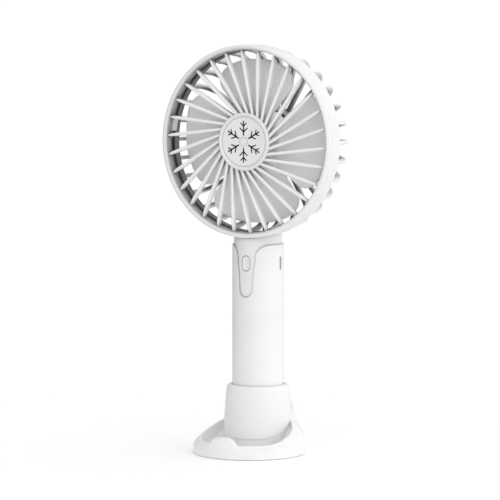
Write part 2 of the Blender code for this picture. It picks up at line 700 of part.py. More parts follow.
def head_housing():
    """The tube inside the handle, the neck and the shroud ring, with the tongue in front."""
    core = turned("head_housing", [
        (0.0, NECK_TOP), (NECK_RADIUS, NECK_TOP), (NECK_RADIUS, SLEEVE_BOTTOM + GAP),
        (CORE_BORE, SLEEVE_BOTTOM + GAP), (CORE_BORE, SLEEVE_TOP - GAP), (0.0, SLEEVE_TOP - GAP),
    ], "white_plastic", closed=False, steps=HANDLE_STEPS)
    inside = (HEAD_RADIUS + SHROUD_BORE) / 2
    step = SHROUD_OVERLAP - SHROUD_BACK
    clearance = turned("head_clearance", [
        (0.0, 5.0), (HEAD_RADIUS + GAP, 5.0), (HEAD_RADIUS + GAP, -RING_DEPTH - GAP),
        (inside, -RING_DEPTH - GAP), (inside, step), (RIB_TIP + GAP, step),
        (RIB_TIP + GAP, -45.0), (0.0, -45.0),
    ], None, HEAD, closed=False)
    boolean(core, clearance, "DIFFERENCE")
    boolean(core, sleeve_space(), "DIFFERENCE")
    boolean(core, shroud(), "UNION")
    width, height = BUTTON_SIZE
    hole = plate("button_hole", pill(width + 2 * GAP, height + 2 * GAP), 5.0, 16.0, None,
                 place=upright(BUTTON_HEIGHT))
    boolean(core, hole, "DIFFERENCE")
    boolean(core, socket_slot("core_slot"), "DIFFERENCE")
    radius, y = LEAD_WAY
    way = rod("lead_way", radius, (0, y, SLEEVE_TOP - 4.0), (0, y, SLEEVE_TOP + 8.0), None)
    boolean(core, way, "DIFFERENCE")


def shroud():
    """Ring round the head with a flange whose notches take the front grille's lugs."""
    front, back = FLANGE_DEPTHS
    ring = turned("shroud_ring", [
        (HEAD_RADIUS, -RING_DEPTH - GAP), (HEAD_RADIUS, 1.0 - SHROUD_BACK),
        (HEAD_RADIUS - 0.4, 0.3 - SHROUD_BACK), (HEAD_RADIUS - 0.9, -SHROUD_BACK),
        (SHROUD_BORE, -SHROUD_BACK), (SHROUD_BORE, -back), (FLANGE_BORE, -back), (FLANGE_BORE, -front),
        (SHROUD_BORE, -front), (SHROUD_BORE, -RING_DEPTH - GAP),
    ], None, HEAD)
    for number, angle in enumerate(LUG_ANGLES, 1):
        middle = (0, LUG_NOTCH_RADIUS, -(front + back) / 2)
        notch = block(f"lug_notch_{number}", LUG_NOTCH, middle, None, HEAD, turn=TWIST_DEGREES - angle)
        boolean(ring, notch, "DIFFERENCE")
    return ring


def tongue_outline(inset=0.0):
    """The cut-out round the button, seen from the front: a U that flares out at the top."""
    radius = TONGUE_RADIUS - inset
    flare_height = SLEEVE_TOP - TONGUE_FLARE[1]
    right = [(half - inset, TONGUE_BOTTOM + height) for half, height in TONGUE_SIDES]
    right += arc(TONGUE_FLARE, (TONGUE_FLARE_WIDTH + inset, flare_height + inset), 175, 90, 6)
    right += [(CUTOUT_SIDE, SLEEVE_TOP + inset), (CUTOUT_SIDE, SLEEVE_TOP + 5.0)]
    left = [(-x, z) for x, z in reversed(right)]
    return arc((0.0, TONGUE_BOTTOM + TONGUE_RADIUS), (radius, radius), 180, 360, 12) + right + left


def sleeve_space():
    """Cutter: the sleeve's room round the core. It leaves the tongue, which is level with the neck."""
    space = turned("sleeve_space", [
        (SLEEVE_RADIUS + 2.0, SLEEVE_TOP + GAP), (SLEEVE_RADIUS + 2.0, SLEEVE_BOTTOM),
        (CORE_RADIUS, SLEEVE_BOTTOM), (CORE_RADIUS, SLEEVE_TOP + GAP),
    ], None, steps=HANDLE_STEPS)
    tongue = plate("tongue_shape", tongue_outline(TONGUE_GAP), *CUTOUT_REACH, None, place=upright())
    boolean(space, tongue, "DIFFERENCE")
    return space


def socket_slot(name):
    length, centre = SOCKET_CUTTER
    return block(name, (length, *SOCKET_SLOT), (centre, 0.0, SOCKET_HEIGHT), None)


def handle_sleeve():
    sleeve = turned("handle_sleeve", [
        (SLEEVE_RADIUS - 0.4, SLEEVE_TOP), (SLEEVE_RADIUS, SLEEVE_TOP - 0.4), (SLEEVE_RADIUS, SLEEVE_BOTTOM),
        (SLEEVE_BORE, SLEEVE_BOTTOM), (SLEEVE_BORE, SLEEVE_TOP),
    ], "white_plastic")
    cut = plate("sleeve_cutout", tongue_outline(), *CUTOUT_REACH, None, place=upright())
    boolean(sleeve, cut, "DIFFERENCE")
    boolean(sleeve, socket_slot("sleeve_slot"), "DIFFERENCE")


def handle_end_cap():
    """A disc that closes the handle, with a plug up into the core."""
    seam = SLEEVE_BOTTOM - GAP
    plug = CORE_BORE - GAP
    turned("handle_end_cap", [
        (0.0, seam + END_PLUG), (plug, seam + END_PLUG), (plug, seam), (SLEEVE_RADIUS, seam),
        (SLEEVE_RADIUS, HANDLE_BOTTOM + 0.8), (SLEEVE_RADIUS - 0.8, HANDLE_BOTTOM), (0.0, HANDLE_BOTTOM),
    ], "white_plastic", closed=False, steps=HANDLE_STEPS)


def battery():
    low, high = CELL_HEIGHTS
    turned("battery_cell", [
        (0.0, high), (3.2, high), (3.2, high - 1.0), (8.3, high - 1.0), (CELL_RADIUS, high - 1.8),
        (CELL_RADIUS, low + 0.6), (8.5, low), (0.0, low),
    ], "cell_wrap", closed=False, steps=SMALL_ROUND)
    block("battery_contact", CONTACT_SIZE, (0, 0, high + 0.7), "steel")
    turns = 3
    steps = 8
    foot, top = SPRING_DROP
    wide, narrow = SPRING_RADII
    spring = []
    for step in range(turns * steps + 1):
        along = step / (turns * steps)
        turn = 2 * math.pi * step / steps
        radius = wide + (narrow - wide) * along
        spring.append((radius * math.cos(turn), radius * math.sin(turn), low - foot + (foot - top) * along))
    coil_spring("battery_spring", spring, SPRING_WIRE)


def coil_spring(name, points, radius):
    curve = bpy.data.curves.new(name, "CURVE")
    curve.dimensions = "3D"
    curve.bevel_depth = radius * MM
    curve.bevel_resolution = 1
    curve.use_fill_caps = True
    spline = curve.splines.new("POLY")
    spline.points.add(len(points) - 1)
    for point, place in zip(spline.points, points):
        point.co = (*(Vector(place) * MM), 1.0)
    add(name, curve_mesh(name, curve), "steel")


def electronics():
    """The board with its chip and inductor behind it, and the button's switch in front."""
    front, back = BOARD_Y
    width, height = BOARD_SIZE
    behind = back + GAP
    board_middle = (0, (front + back) / 2, BUTTON_HEIGHT - 2.8)
    chip_middle = (-4.0, behind + CHIP_SIZE[1] / 2, BUTTON_HEIGHT - 8.3)
    inductor_middle = (3.6, behind + INDUCTOR_SIZE[1] / 2, BUTTON_HEIGHT + 1.7)
    block("control_pcb", (width, back - front, height), board_middle, "circuit_board")
    block("controller_chip", CHIP_SIZE, chip_middle, "black_plastic")
    block("boost_inductor", INDUCTOR_SIZE, inductor_middle, "magnet")
    switch = block("tact_switch", SWITCH_SIZE, (0, -0.2, BUTTON_HEIGHT), "black_plastic")
    well = rod("switch_well", 1.9, (0, -3.0, BUTTON_HEIGHT), (0, 0.0, BUTTON_HEIGHT), None)
    boolean(switch, well, "DIFFERENCE")


def usb_socket():
    """A metal shell with a plastic tongue inside its open mouth."""
    shell = block("usb_socket", USB_SHELL, (9.0, 0.0, SOCKET_HEIGHT), "steel")
    mouth = block("usb_mouth", USB_MOUTH, (9.6, 0.0, SOCKET_HEIGHT), None)
    boolean(shell, mouth, "DIFFERENCE")
    block("usb_tongue", USB_TONGUE, (8.9, 0.1, SOCKET_HEIGHT), "black_plastic")


def power_button():
    """The cap, its flange behind the wall and the stem that reaches the switch."""
    axis = bpy.data.objects.new("button_axis", None)
    axis.location = (0.0, BUTTON_FACE_Y * MM, BUTTON_HEIGHT * MM)
    axis.rotation_euler = (math.radians(90), 0.0, 0.0)
    PARTS.objects.link(axis)
    width, height = BUTTON_SIZE
    grow, *flange_depths = BUTTON_FLANGE
    cap = plate("power_button", pill(width, height), *BUTTON_DEPTHS, "white_plastic", axis)
    flange = plate("button_flange", pill(width + grow, height + grow), *flange_depths, None, axis)
    boolean(cap, flange, "UNION")
    radius, back, front = BUTTON_STEM
    boolean(cap, rod("button_stem", radius, (0, 0, back), (0, 0, front), None, axis), "UNION")
    radius, back, front = PLUNGER
    rod("switch_plunger", radius, (0, 0, back), (0, 0, front), "black_plastic", axis, SCREW_STEPS)


def motor_board():
    sleeve_ring("motor_pcb", *MOTOR_BOARD, "circuit_board")


def motor_leads():
    """From the motor seat, between two ribs and down the neck to the board."""
    for name, side, finish in (("motor_lead_red", LEAD_SIDE, "red_insulation"),
                               ("motor_lead_black", -LEAD_SIDE, "black_insulation")):
        upper = [(side, y, HEAD_HEIGHT - drop) for y, drop in LEAD_UPPER]
        lower = [(side, y, SLEEVE_TOP - drop) for y, drop in LEAD_LOWER]
        wire(name, upper + lower, LEAD_RADIUS, finish)


# ---------------------------------------------------------------- dock

def interpolate(table, place, column=1):
    """Read a column of a table at a place between its rows; the first column is the place."""
    for low, high in zip(table, table[1:]):
        if place <= high[0]:
            share = max(0.0, (place - low[0]) / (high[0] - low[0]))
            return low[column] + share * (high[column] - low[column])
    return table[-1][column]


def rim_height(y):
    return interpolate(RIM_HEIGHT, y)


def rim_outline(inset=0.0, back=RIM_BACK_RADIUS):
    """The rim seen from above: an ellipse in front, and a circle round the cup behind it."""
    points = []
    for step in range(ROUND):
        turn = 2 * math.pi * step / ROUND
        x = (RIM_HALF[0] - inset) * math.cos(turn)
        y = RIM_CENTRE_Y + (RIM_HALF[1] - inset) * math.sin(turn)
        reach = math.hypot(x, y)
        if back and y > 0.0 and reach < back:
            angle = math.atan2(max(0.0, y - RIM_CENTRE_Y), x)
            x, y = circle_from(RIM_CENTRE_Y, angle, back)
        points.append((x, y))
    return points


def circle_from(start_y, angle, radius):
    """Where a ray from a point on the Y axis meets a circle round the origin."""
    across = math.cos(angle)
    along = math.sin(angle)
    reach = -start_y * along + math.sqrt(radius**2 - (start_y * across) ** 2)
    return reach * across, start_y + reach * along


def dock_foot():
    """Round foot whose rim climbs to the back of the cup, with a trough inside the rim."""
    foot = finished("dock_foot", foot_body(), "white_plastic")
    boolean(foot, finished("foot_trough", trough(), None), "DIFFERENCE")
    boolean(foot, hill(), "UNION")
    radius = CUP_BASE_RADIUS + GAP
    base = turned("cup_base_space", [
        (0.0, FAR_UP), (radius, FAR_UP), (radius, TROUGH_FLOOR), (0.0, TROUGH_FLOOR),
    ], None, closed=False)
    boolean(foot, base, "DIFFERENCE")
    boolean(foot, cup_outside("cup_space", GAP, GAP), "DIFFERENCE")
    ceiling = COVER_HEIGHTS[1] + GAP
    recess = turned("cover_recess", [
        (0.0, ceiling), (COVER_RADIUS + GAP, ceiling), (COVER_RADIUS + GAP, FAR_DOWN), (0.0, FAR_DOWN),
    ], None, closed=False)
    recess.location = (0.0, FOOT_CENTRE_Y * MM, 0.0)
    boolean(foot, recess, "DIFFERENCE")
    for number, angle in enumerate(SCREW_ANGLES, 1):
        boolean(foot, screw_shape(f"foot_screw_hole_{number}", angle, GAP, None), "DIFFERENCE")


def foot_outline(radius):
    turns = [2 * math.pi * step / ROUND for step in range(ROUND)]
    return [(radius * math.cos(turn), FOOT_CENTRE_Y + radius * math.sin(turn)) for turn in turns]


def wall_outline():
    """Where the foot's wall ends and the skirt begins: (x, y, z) points."""
    points = []
    for x, y in foot_outline(FOOT_RADIUS):
        share = 1.0 - interpolate(WALL_TOP, y, 2) / FOOT_RADIUS
        points.append((x * share, FOOT_CENTRE_Y + (y - FOOT_CENTRE_Y) * share, interpolate(WALL_TOP, y)))
    return points


def raised(bm, outline, height):
    """Vertices over an outline, at a height which may depend on their place along Y."""
    return [bm.verts.new((x * MM, y * MM, height(y) * MM)) for x, y in outline]


def foot_body():
    """Upright wall, then a skirt that leans in to the rim and bulges out towards the back."""
    bm = bmesh.new()
    wall = wall_outline()
    rim = [(x, y, rim_height(y)) for x, y in rim_outline()]
    bulge_start, bulge_length = BULGE_PLACE
    middle = []
    for low, high in zip(wall, rim):
        out = Vector((low[0] - high[0], low[1] - high[1], 0.0)).normalized()
        bulge = SKIRT_BULGE * min(1.0, max(0.0, (low[1] - bulge_start) / bulge_length))
        middle.append((Vector(low) + Vector(high)) / 2 + out * bulge)
    rings = [
        raised(bm, foot_outline(FOOT_RADIUS - 0.4), lambda y: FOOT_BOTTOM),
        raised(bm, foot_outline(FOOT_RADIUS), lambda y: FOOT_BOTTOM + 0.4),
        *([bm.verts.new(Vector(point) * MM) for point in points] for points in (wall, middle, rim)),
    ]
    loft(bm, rings, caps=False)
    bm.faces.new(list(reversed(rings[0])))
    top_cap(bm, rings[-1])
    return bm


def top_cap(bm, ring):
    """Close a ring whose height follows Y by joining its vertices straight across in X."""
    half = len(ring) // 2
    right = [ring[(i - half // 2) % len(ring)] for i in range(half + 1)]
    left = [ring[(half + half // 2 - i) % len(ring)] for i in range(half + 1)]
    for i in range(1, half - 1):
        bm.faces.new((right[i], right[i + 1], left[i + 1], left[i]))
    bm.faces.new((right[0], right[1], left[1]))
    bm.faces.new((right[half - 1], right[half], left[half - 1]))


def trough_floor(y):
    return TROUGH_FLOOR + CUP_EDGE_SLOPE * max(0.0, y - CUP_EDGE_Y)


def trough():
    """Cutter: everything inside the rim, down to a floor that climbs with the cup's edge."""
    bm = bmesh.new()
    floor = raised(bm, rim_outline(TROUGH_FOOT, back=0.0), trough_floor)
    sky = raised(bm, rim_outline(RIM_WALL, back=0.0), lambda y: FAR_UP)
    loft(bm, [floor, sky], caps=False)
    bm.faces.new(sky)
    top_cap(bm, floor)
    bmesh.ops.recalc_face_normals(bm, faces=bm.faces)
    return bm


def hill():
    """The stop at the front of the trough, level with the foot's wall."""
    outline = [*HILL_SIDE, *((-x, z) for x, z in reversed(HILL_SIDE))]
    stop = plate("foot_stop", outline, HILL_BACK, 45.0, None, place=upright())
    limit = turned("foot_stop_limit", [
        (0.0, FAR_UP), (FOOT_RADIUS - 0.15, FAR_UP), (FOOT_RADIUS - 0.15, 0.0), (0.0, 0.0),
    ], None, closed=False)
    limit.location = (0.0, FOOT_CENTRE_Y * MM, 0.0)
    boolean(stop, limit, "INTERSECT")
    return stop


def cup_outside(name, grow, drop):
    """The cup's tapered outside above its sloping lower edge."""
    side = [(radius + grow, height) for radius, height in CUP_SIDE]
    top = side[0][0]
    shoulder = [(top - inset, CUP_TOP - fall) for inset, fall in CUP_SHOULDER]
    profile = [(0.0, CUP_TOP), *shoulder, *side, (side[-1][0], 2.0), (0.0, 2.0)]
    body = turned(name, profile, None, closed=False)
    front = CUP_EDGE_FRONT - drop
    back = front + CUP_EDGE_SLOPE * (FAR_OUT - CUP_EDGE_Y)
    below = [(-FAR_OUT, front), (CUP_EDGE_Y, front), (FAR_OUT, back), (FAR_OUT, 0.0), (-FAR_OUT, 0.0)]
    boolean(body, plate(name + "_below", below, -FAR_OUT, FAR_OUT, None, place=sideways()), "DIFFERENCE")
    return body


def dock_cup():
    """Tapered cup on a narrower base that stands on the foot's floor."""
    low = TROUGH_FLOOR + GAP
    cup = turned("dock_cup", [
        (0.0, CUP_BASE_TOP), (CUP_BASE_RADIUS, CUP_BASE_TOP), (CUP_BASE_RADIUS, low), (0.0, low),
    ], "white_plastic", closed=False)
    boolean(cup, cup_outside("cup_taper", 0.0, 0.0), "UNION")
    bore = turned("cup_bore", [
        (0.0, FAR_UP), (CUP_BORE, FAR_UP), (CUP_BORE, CUP_FLOOR), (0.0, CUP_FLOOR),
    ], None, closed=False)
    boolean(cup, bore, "DIFFERENCE")
    for number, angle in enumerate(SCREW_ANGLES, 1):
        boolean(cup, screw_shape(f"cup_screw_hole_{number}", angle, GAP, None), "DIFFERENCE")


def screw_shape(name, angle, grow, finish):
    """A pan-head screw standing head down, from the cover's recess up into the cup's base."""
    face, seat, tip = SCREW_HEIGHTS
    shank, head = (radius + grow for radius in SCREW_RADII)
    face = face if finish else FAR_DOWN
    seat += grow
    tip += grow
    return moved(turned(name, [
        (0.0, tip), (shank, tip - 0.8), (shank, seat), (head, seat), (head, face), (0.0, face),
    ], finish, closed=False, steps=SCREW_STEPS), angle)


def moved(obj, angle):
    turn = math.radians(angle)
    obj.location = (SCREW_CIRCLE * math.sin(turn) * MM, SCREW_CIRCLE * math.cos(turn) * MM, 0.0)
    return obj


def dock_underside():
    """Three screws up into the cup, the cover over them and the pad the dock stands on."""
    for number, angle in enumerate(SCREW_ANGLES, 1):
        screw_shape(f"dock_screw_{number}", angle, 0.0, "steel")
    low, high = COVER_HEIGHTS
    cover = turned("dock_base_cover", [
        (0.0, high), (COVER_RADIUS, high), (COVER_RADIUS, low), (0.0, low),
    ], "white_plastic", closed=False)
    cover.location = (0.0, FOOT_CENTRE_Y * MM, 0.0)
    for number, angle in enumerate(SCREW_ANGLES, 1):
        radius = SCREW_RADII[1] + GAP
        hole = moved(turned(f"cover_hole_{number}", [
            (0.0, 5.0), (radius, 5.0), (radius, 0.0), (0.0, 0.0),
        ], None, closed=False, steps=SCREW_STEPS), angle)
        boolean(cover, hole, "DIFFERENCE")
    pad = turned("anti_slip_pad", [
        (0.0, PAD_THICKNESS), (PAD_RADIUS, PAD_THICKNESS), (PAD_RADIUS, 0.0), (0.0, 0.0),
    ], "rubber", closed=False)
    pad.location = (0.0, FOOT_CENTRE_Y * MM, 0.0)


def main():
    head_parts = (front_grille, hub_badge, impeller, rotor, bearings, stator, coils, motor_board,
                  rear_grille, rear_cap)
    handle_parts = (head_housing, handle_sleeve, handle_end_cap, battery, electronics, usb_socket,
                    power_button, motor_leads)
    dock_parts = (dock_foot, dock_cup, dock_underside)
    for build in (*head_parts, *handle_parts, *dock_parts):
        build()
    bpy.context.view_layer.update()


clear_scene()
PARTS = collection("handheld_fan")
CUTTERS = collection("cutters")
HEAD = bpy.data.objects.new("head_axis", None)
HEAD.location = (0.0, FRONT_FACE_Y * MM, HEAD_HEIGHT * MM)
HEAD.rotation_euler = (math.radians(90), 0.0, 0.0)
PARTS.objects.link(HEAD)
main()
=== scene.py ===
"""How the handheld fan looks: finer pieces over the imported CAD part, materials, light and camera.

Sizes are in millimetres, in the part's own frame; the helpers turn them into metres.
"""

import json
import math

import bmesh
import bpy
from mathutils import Matrix, Vector


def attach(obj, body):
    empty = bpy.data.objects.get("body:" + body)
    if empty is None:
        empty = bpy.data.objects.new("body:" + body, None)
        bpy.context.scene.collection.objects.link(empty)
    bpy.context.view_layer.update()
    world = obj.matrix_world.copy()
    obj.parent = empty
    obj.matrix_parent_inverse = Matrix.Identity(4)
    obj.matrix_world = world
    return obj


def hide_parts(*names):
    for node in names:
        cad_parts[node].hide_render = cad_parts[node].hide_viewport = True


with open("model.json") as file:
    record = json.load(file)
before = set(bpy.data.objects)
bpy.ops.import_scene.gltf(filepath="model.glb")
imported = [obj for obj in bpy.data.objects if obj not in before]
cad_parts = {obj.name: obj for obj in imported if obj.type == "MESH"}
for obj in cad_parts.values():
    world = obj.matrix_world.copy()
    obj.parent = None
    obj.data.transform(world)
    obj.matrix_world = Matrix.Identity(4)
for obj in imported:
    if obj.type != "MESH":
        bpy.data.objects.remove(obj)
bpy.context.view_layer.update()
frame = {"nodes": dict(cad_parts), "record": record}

MM = 0.001
FINE = 192          # steps in a full turn of the head and the dock
MEDIUM = 144        # steps in a full turn of the handle
SMALL = 24          # steps in a full turn of a hole
GAP = 0.3
FAR_UP = 60.0       # how far cutters reach past the pieces that they cut
FAR_DOWN = -1.0
FAR_OUT = 30.0

# Head: depth runs backwards from the front face of the front ring
HEAD_HEIGHT = 170.7
FRONT_FACE_Y = -15.7
HEAD_RADIUS = 52.5
HEAD_DEPTH = 35.0
HEAD_FRONT = 5.0    # the cutter for the head's space reaches from here
HEAD_BACK = -45.0
RING_DEPTH = 3.4
RING_OPENING = 50.0
SHROUD_BACK = 13.4
SHROUD_BORE = 51.1
FLANGE_BORE = 49.95
FLANGE_DEPTHS = (6.3, 7.5)      # front and back of the flange that the grille's lugs hook behind
LUG_ANGLES = (40.0, 160.0, 280.0)
LUG_HOOK = ((48.4, -4.6), (48.4, -8.9), (50.6, -8.9), (50.6, -7.9), (49.6, -7.9), (49.6, -4.6))
LUG_HALF_WIDTH = 3.5
LUG_NOTCH = (9.4, 2.3, 2.0)
LUG_NOTCH_RADIUS = 49.7
TWIST_DEGREES = 15.0

SPOKE_COUNT = 30
SPOKE_WIDTH = 1.9
SPOKE_DEPTH = 2.8
SPOKE_TWIST = 23.0
FIRST_SPOKE = 8.75
HUB_RADIUS = 15.8
HUB_PROUD = 0.9
BADGE_RADIUS = 13.5

FLAKE_GROOVE = 0.8
FLAKE_ARM = (3.5, 11.2)
FLAKE_FORKS = ((5.3, 3.2), (8.5, 2.4))      # distance from the centre, branch length
FLAKE_FORK_ANGLE = 47.0
FLAKE_HEXAGON = 2.6
HEXAGON_LINE = 0.3

BLADE_COUNT = 4
BLADE_TIP = 44.7
BLADE_ROOT = 17.0
BLADE_HALF_ANGLE = 40.0
BLADE_MID_DEPTH = 14.0
BLADE_RISE = (4.6, 3.3)     # half the depth from edge to edge, at the root and at the tip
BLADE_THICKNESS = 1.2
BLADE_CORNER = 9.0
IMPELLER_HUB = 17.5
IMPELLER_FRONT = 10.8
IMPELLER_BACK = 22.5
SHAFT_RADIUS = 0.9

RIB_COUNT = 30
RIB_THICKNESS = 2.0
RIB_SECTION = 3.4
RIB_SHOULDER = (38.0, 16.5)     # centre of the ribs' bend, as (radius, depth)
RIB_TIP = 52.0
REAR_HUB = 18.5
SPIGOT_BORE = 49.2
LEAD_HOLE = (1.8, 28.2)     # radius and depth
RIM_FADE = (47.5, 50.5)     # distances from the head's axis where the ribs turn from painted shade to plain

# Handle
NECK_RADIUS = 13.2
NECK_TOP = 130.0
CORE_RADIUS = 12.3
CORE_BORE = 10.8
SLEEVE_RADIUS = 14.2
SLEEVE_BORE = 12.6
SLEEVE_BOTTOM = 14.5
SLEEVE_TOP = 114.4
BUTTON_HEIGHT = 104.3
BUTTON_SIZE = (4.55, 8.1)
BUTTON_GAP = 0.3
BUTTON_FACE_Y = -13.4
SOCKET_HEIGHT = 104.1
SOCKET_SLOT = (2.1, 7.6)
TONGUE_GAP = 0.5
HANDLE_FRONT = (2.0, 18.0)       # how far in front of the axis the tongue's cuts run
GROOVE_FLOOR = 13.05
TONGUE_BOTTOM = 85.6
TONGUE_FLARE = (13.6, 108.2)    # centre of the curve at the tongue's top, as (x, z)

# Dock
FOOT_CENTRE_Y = -8.65
FOOT_RADIUS = 31.4
FOOT_BOTTOM = 0.3
HILL_BACK = 35.8
# The foot's upright wall as (y, height, how far its top leans in)
WALL_TOP = ((-40.1, 3.8, 0.1), (-32.0, 4.3, 0.15), (-24.5, 5.1, 0.3), (-16.5, 6.3, 0.7), (-6.5, 8.0, 1.3),
            (7.0, 9.0, 1.7), (22.8, 9.6, 1.9))
RIM_CENTRE_Y = -12.5
RIM_HALF = (26.3, 24.1)
# The trough's rim as (y, height)
RIM_HEIGHT = ((-36.7, 7.4), (-25.3, 7.5), (-18.0, 9.1), (-12.0, 10.9), (-6.0, 13.0), (0.0, 15.6), (6.0, 19.0),
              (10.0, 25.5), (14.0, 29.0), (20.1, 30.0))
RIM_BACK_RADIUS = 18.7
SKIRT_BULGE = 1.9
RIM_WALL = 0.5
TROUGH_FLOOR = 3.4
TROUGH_RISE = 0.6
TROUGH_RISE_Y = -5.0
CUP_BORE = 14.6
CUP_TOP = 37.0
# The cup's side as (radius, height)
CUP_SIDE = ((17.5, 33.4), (18.1, 27.0), (18.6, 18.5), (18.95, 12.6), (19.1, 8.7))
CUP_EDGE_FRONT = 8.7
CUP_EDGE_Y = -13.0
CUP_EDGE_SLOPE = 0.45
CUP_EDGE_SMOOTH = 6.0       # half the length of the bend from level to sloping
CUP_BASE = (18.4, 16.0)     # radius and top of the part of the cup that stands in the trough
CUP_CORE_RADIUS = 16.1      # of the space in the foot behind the cup's wall
CUP_FLOOR = 12.1
COVER_RADIUS = 28.8
COVER_TOP = 2.1
SCREW_ANGLES = (0.0, 120.0, 240.0)
SCREW_CIRCLE = 9.0
SCREW_THREAD = 1.1
SCREW_TIP = 9.7
SCREW_HOLE = (1.4, 2.3)     # radii round the shank and round the head
SCREW_SEAT = 2.7
LEAD_WAY = (1.9, 6.2)       # radius, and distance behind the handle's axis
LEAD_WAY_LOW = 100.0

# Moulded plastic, and the shade painted into its recesses
GRAIN_STRENGTH = 0.35
MOTTLE_SCALE = 60.0
GLOSS_SPREAD = 0.04
OPEN = 0.85         # openness from which no shade is painted on a surface

# Camera, light and floor
CAMERA_AZIMUTH = 30.21
CAMERA_DISTANCE = 1460.2
CAMERA_HEIGHT = 232.2
CAMERA_TARGET = (-3.86, -2.25, 110.7)
CAMERA_LENS = 191.45
CAMERA_SENSOR = 36.0
FLOOR_RADIUS = 0.4                      # in metres
FLOOR_FADE = (0.12, 0.8)                # where the fade starts and ends, as shares of the radius
FLOOR_GLOW = 0.1
BACKDROP = 1.02
SURROUND_LEVEL = 0.79
SURROUND_RISE = (0.36, 0.24, 0.3)       # brighter to the camera's right, behind the camera and overhead

# Places: HEAD puts its Z along the head's axis; the others stand an XY outline up to face -Y or +X
UPRIGHT = Matrix.Rotation(math.radians(90), 4, "X")
HEAD = Matrix.Translation((0.0, FRONT_FACE_Y * MM, HEAD_HEIGHT * MM)) @ UPRIGHT
SIDEWAYS = Matrix.Rotation(math.radians(90), 4, "Z") @ UPRIGHT


# ---------------------------------------------------------------- materials

def shader_of(name):
    made = bpy.data.materials.new(name)
    made.use_nodes = True
    nodes = made.node_tree.nodes
    return made, made.node_tree, nodes["Principled BSDF"]


def moulded(name, colour, roughness, grain=0.5, relief=0.04, mottle=0.015, coat=0.0, shade=1.0, reach=12.0,
            rim_shade=None, deepest=0.15):
    """Moulded plastic: fine spark-eroded grain, faint mottling, uneven gloss, and painted shade in its
    recesses.

    In recesses within reach the colour is multiplied by shade at most, where their openness is down to
    deepest.
    With rim_shade the painted shade eases off to that value at the outside of the fan's head.
    """
    made, tree, shader = shader_of(name)
    place = tree.nodes.new("ShaderNodeTexCoord").outputs["Object"]
    fine = tree.nodes.new("ShaderNodeTexNoise")
    fine.inputs["Scale"].default_value = 1.0 / (grain * MM)
    fine.inputs["Detail"].default_value = 3.0
    broad = tree.nodes.new("ShaderNodeTexNoise")
    broad.inputs["Scale"].default_value = MOTTLE_SCALE
    broad.inputs["Detail"].default_value = 2.0
    for texture in (fine, broad):
        tree.links.new(place, texture.inputs["Vector"])
    bump = tree.nodes.new("ShaderNodeBump")
    bump.inputs["Strength"].default_value = GRAIN_STRENGTH
    bump.inputs["Distance"].default_value = relief * MM
    tree.links.new(fine.outputs["Fac"], bump.inputs["Height"])
    tree.links.new(bump.outputs["Normal"], shader.inputs["Normal"])
    ramp = tree.nodes.new("ShaderNodeValToRGB")
    low = [c * (1.0 - mottle) for c in colour]
    high = [min(1.0, c * (1.0 + mottle)) for c in colour]
    ramp.color_ramp.elements[0].color = (*low, 1.0)
    ramp.color_ramp.elements[1].color = (*high, 1.0)
    ramp.color_ramp.elements[0].position = 0.35
    ramp.color_ramp.elements[1].position = 0.65
    tree.links.new(broad.outputs["Fac"], ramp.inputs["Fac"])
    # Painted shade: an ambient occlusion node darkens the colour in recesses and between parts.
    recess = tree.nodes.new("ShaderNodeAmbientOcclusion")
    recess.samples = 8
    recess.inputs["Distance"].default_value = reach * MM
    depth = tree.nodes.new("ShaderNodeMapRange")
    depth.inputs["From Min"].default_value = deepest
    depth.inputs["From Max"].default_value = OPEN
    depth.inputs["To Min"].default_value = shade
    if rim_shade is not None:
        tree.links.new(rim_shade_mask(tree, place, shade, rim_shade), depth.inputs["To Min"])
    tree.links.new(recess.outputs["AO"], depth.inputs["Value"])
    painted_shade_colour = tree.nodes.new("ShaderNodeVectorMath")
    painted_shade_colour.operation = "SCALE"
    tree.links.new(ramp.outputs["Color"], painted_shade_colour.inputs[0])
    tree.links.new(depth.outputs["Result"], painted_shade_colour.inputs["Scale"])
    tree.links.new(painted_shade_colour.outputs["Vector"], shader.inputs["Base Color"])
    gloss = tree.nodes.new("ShaderNodeMapRange")
    gloss.inputs["To Min"].default_value = roughness - GLOSS_SPREAD
    gloss.inputs["To Max"].default_value = roughness + GLOSS_SPREAD
    tree.links.new(fine.outputs["Fac"], gloss.inputs["Value"])
    tree.links.new(gloss.outputs["Result"], shader.inputs["Roughness"])
    shader.inputs["Coat Weight"].default_value = coat
    return made


def rim_shade_mask(tree, place, inner, outer):
    """A value that goes from inner to outer across the head's rim, by distance from its axis: the least
    multiplier of the painted shade, so the shade is painted darker inside the cage.
    """
    centred = tree.nodes.new("ShaderNodeVectorMath")
    centred.operation = "SUBTRACT"
    centred.inputs[1].default_value = (0.0, 0.0, HEAD_HEIGHT * MM)
    tree.links.new(place, centred.inputs[0])
    flat = tree.nodes.new("ShaderNodeVectorMath")
    flat.operation = "MULTIPLY"
    flat.inputs[1].default_value = (1.0, 0.0, 1.0)
    tree.links.new(centred.outputs["Vector"], flat.inputs[0])
    length = tree.nodes.new("ShaderNodeVectorMath")
    length.operation = "LENGTH"
    tree.links.new(flat.outputs["Vector"], length.inputs[0])
    mask = tree.nodes.new("ShaderNodeMapRange")
    mask.inputs["From Min"].default_value = RIM_FADE[0] * MM
    mask.inputs["From Max"].default_value = RIM_FADE[1] * MM
    mask.inputs["To Min"].default_value = inner
    mask.inputs["To Max"].default_value = outer
    tree.links.new(length.outputs["Value"], mask.inputs["Value"])
    return mask.outputs["Result"]


